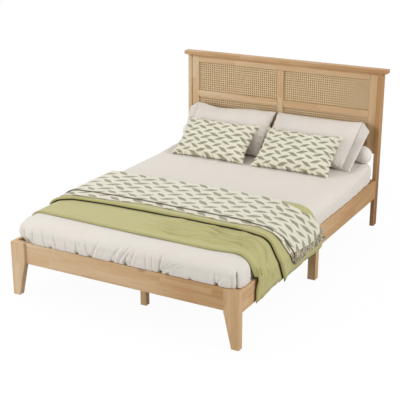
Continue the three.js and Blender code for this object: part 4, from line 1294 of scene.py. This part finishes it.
studio = {
    "sky": 0.55,
    "bounce": 0.45,
    "shadowShare": 0.05,
    "unshaded": 0.92,
    # towards the lamp, strength and spread of each far lamp
    "lamps": (
        ((-0.56, -0.78, 0.20), 0.95, 24.0),
        ((0.93, 0.02, 0.37), 1.56, 34.0),
        ((-0.42, 0.42, 0.80), 0.55, 45.0),
    ),
    # the near lamp at the left of the foot: place, the point it faces, size and watts
    "panel": ((-2.6, -2.6, 1.3), (-0.2, -1.0, 0.3), 1.4, 22.0),
}


def shadeOf(g, kind, level, strength=None):
    # an even grey shader of that kind
    strengths = {} if strength is None else {"Strength": strength}
    return g.node(kind, {}, {"Color": (level, level, level, 1), **strengths})


def hangLamp(name, kind, power, toLamp, place=(0, 0, 0), **sizes):
    lamp = bpy.data.lights.new(name, kind)
    lamp.energy = power
    for key, value in sizes.items():
        setattr(lamp, key, value)
    holder = bpy.data.objects.new(name, lamp)
    x, y, z = toLamp
    holder.location = place
    holder.rotation_euler = (math.atan2(math.hypot(x, y), z), 0, math.atan2(y, x) + math.pi / 2)
    bpy.context.scene.collection.objects.link(holder)


def makeStudio(setting):
    material = bpy.data.materials.new("paleFloor")
    material.use_nodes = True
    g = Graph(material.node_tree)
    seen = g.node("ShaderNodeLightPath", {}, [], "Is Camera Ray")
    share = setting["shadowShare"]
    shaded = shadeOf(g, "ShaderNodeBsdfDiffuse", share)
    glow = shadeOf(g, "ShaderNodeEmission", 1, 1.0 - share * setting["unshaded"])
    pale = g.node("ShaderNodeAddShader", {}, [shaded, glow])
    plain = shadeOf(g, "ShaderNodeBsdfDiffuse", setting["bounce"])
    g.node("ShaderNodeOutputMaterial", {}, [g.node("ShaderNodeMixShader", {}, [seen, plain, pale])])
    corners = np.array([[-60, -60, 0], [60, -60, 0], [60, 60, 0], [-60, 60, 0]])
    makePiece("floor", corners, np.array([[0, 1, 2, 3]]), material, weld=0)

    world = bpy.data.worlds.new("studio")
    bpy.context.scene.world = world
    world.use_nodes = True
    g = Graph(world.node_tree)
    camera, glossy, through = (
        g.node("ShaderNodeLightPath", {}, [], name)
        for name in ("Is Camera Ray", "Is Glossy Ray", "Is Transmission Ray")
    )
    sky, white = (shadeOf(g, "ShaderNodeBackground", 1, strength) for strength in (setting["sky"], 1.0))
    mixed = g.node("ShaderNodeMixShader", {}, [camera.most(glossy).most(through), sky, white])
    g.node("ShaderNodeOutputWorld", {}, [mixed])

    for k, (toLamp, strength, spread) in enumerate(setting["lamps"]):
        hangLamp(f"lamp{k + 1}", "SUN", strength, toLamp, angle=math.radians(spread))
    place, target, size, watts = setting["panel"]
    hangLamp("softPanel", "AREA", watts, np.subtract(place, target), place, size=size)


makeStudio(studio)
bpy.context.scene.view_settings.view_transform = "Standard"
print("studio lit")
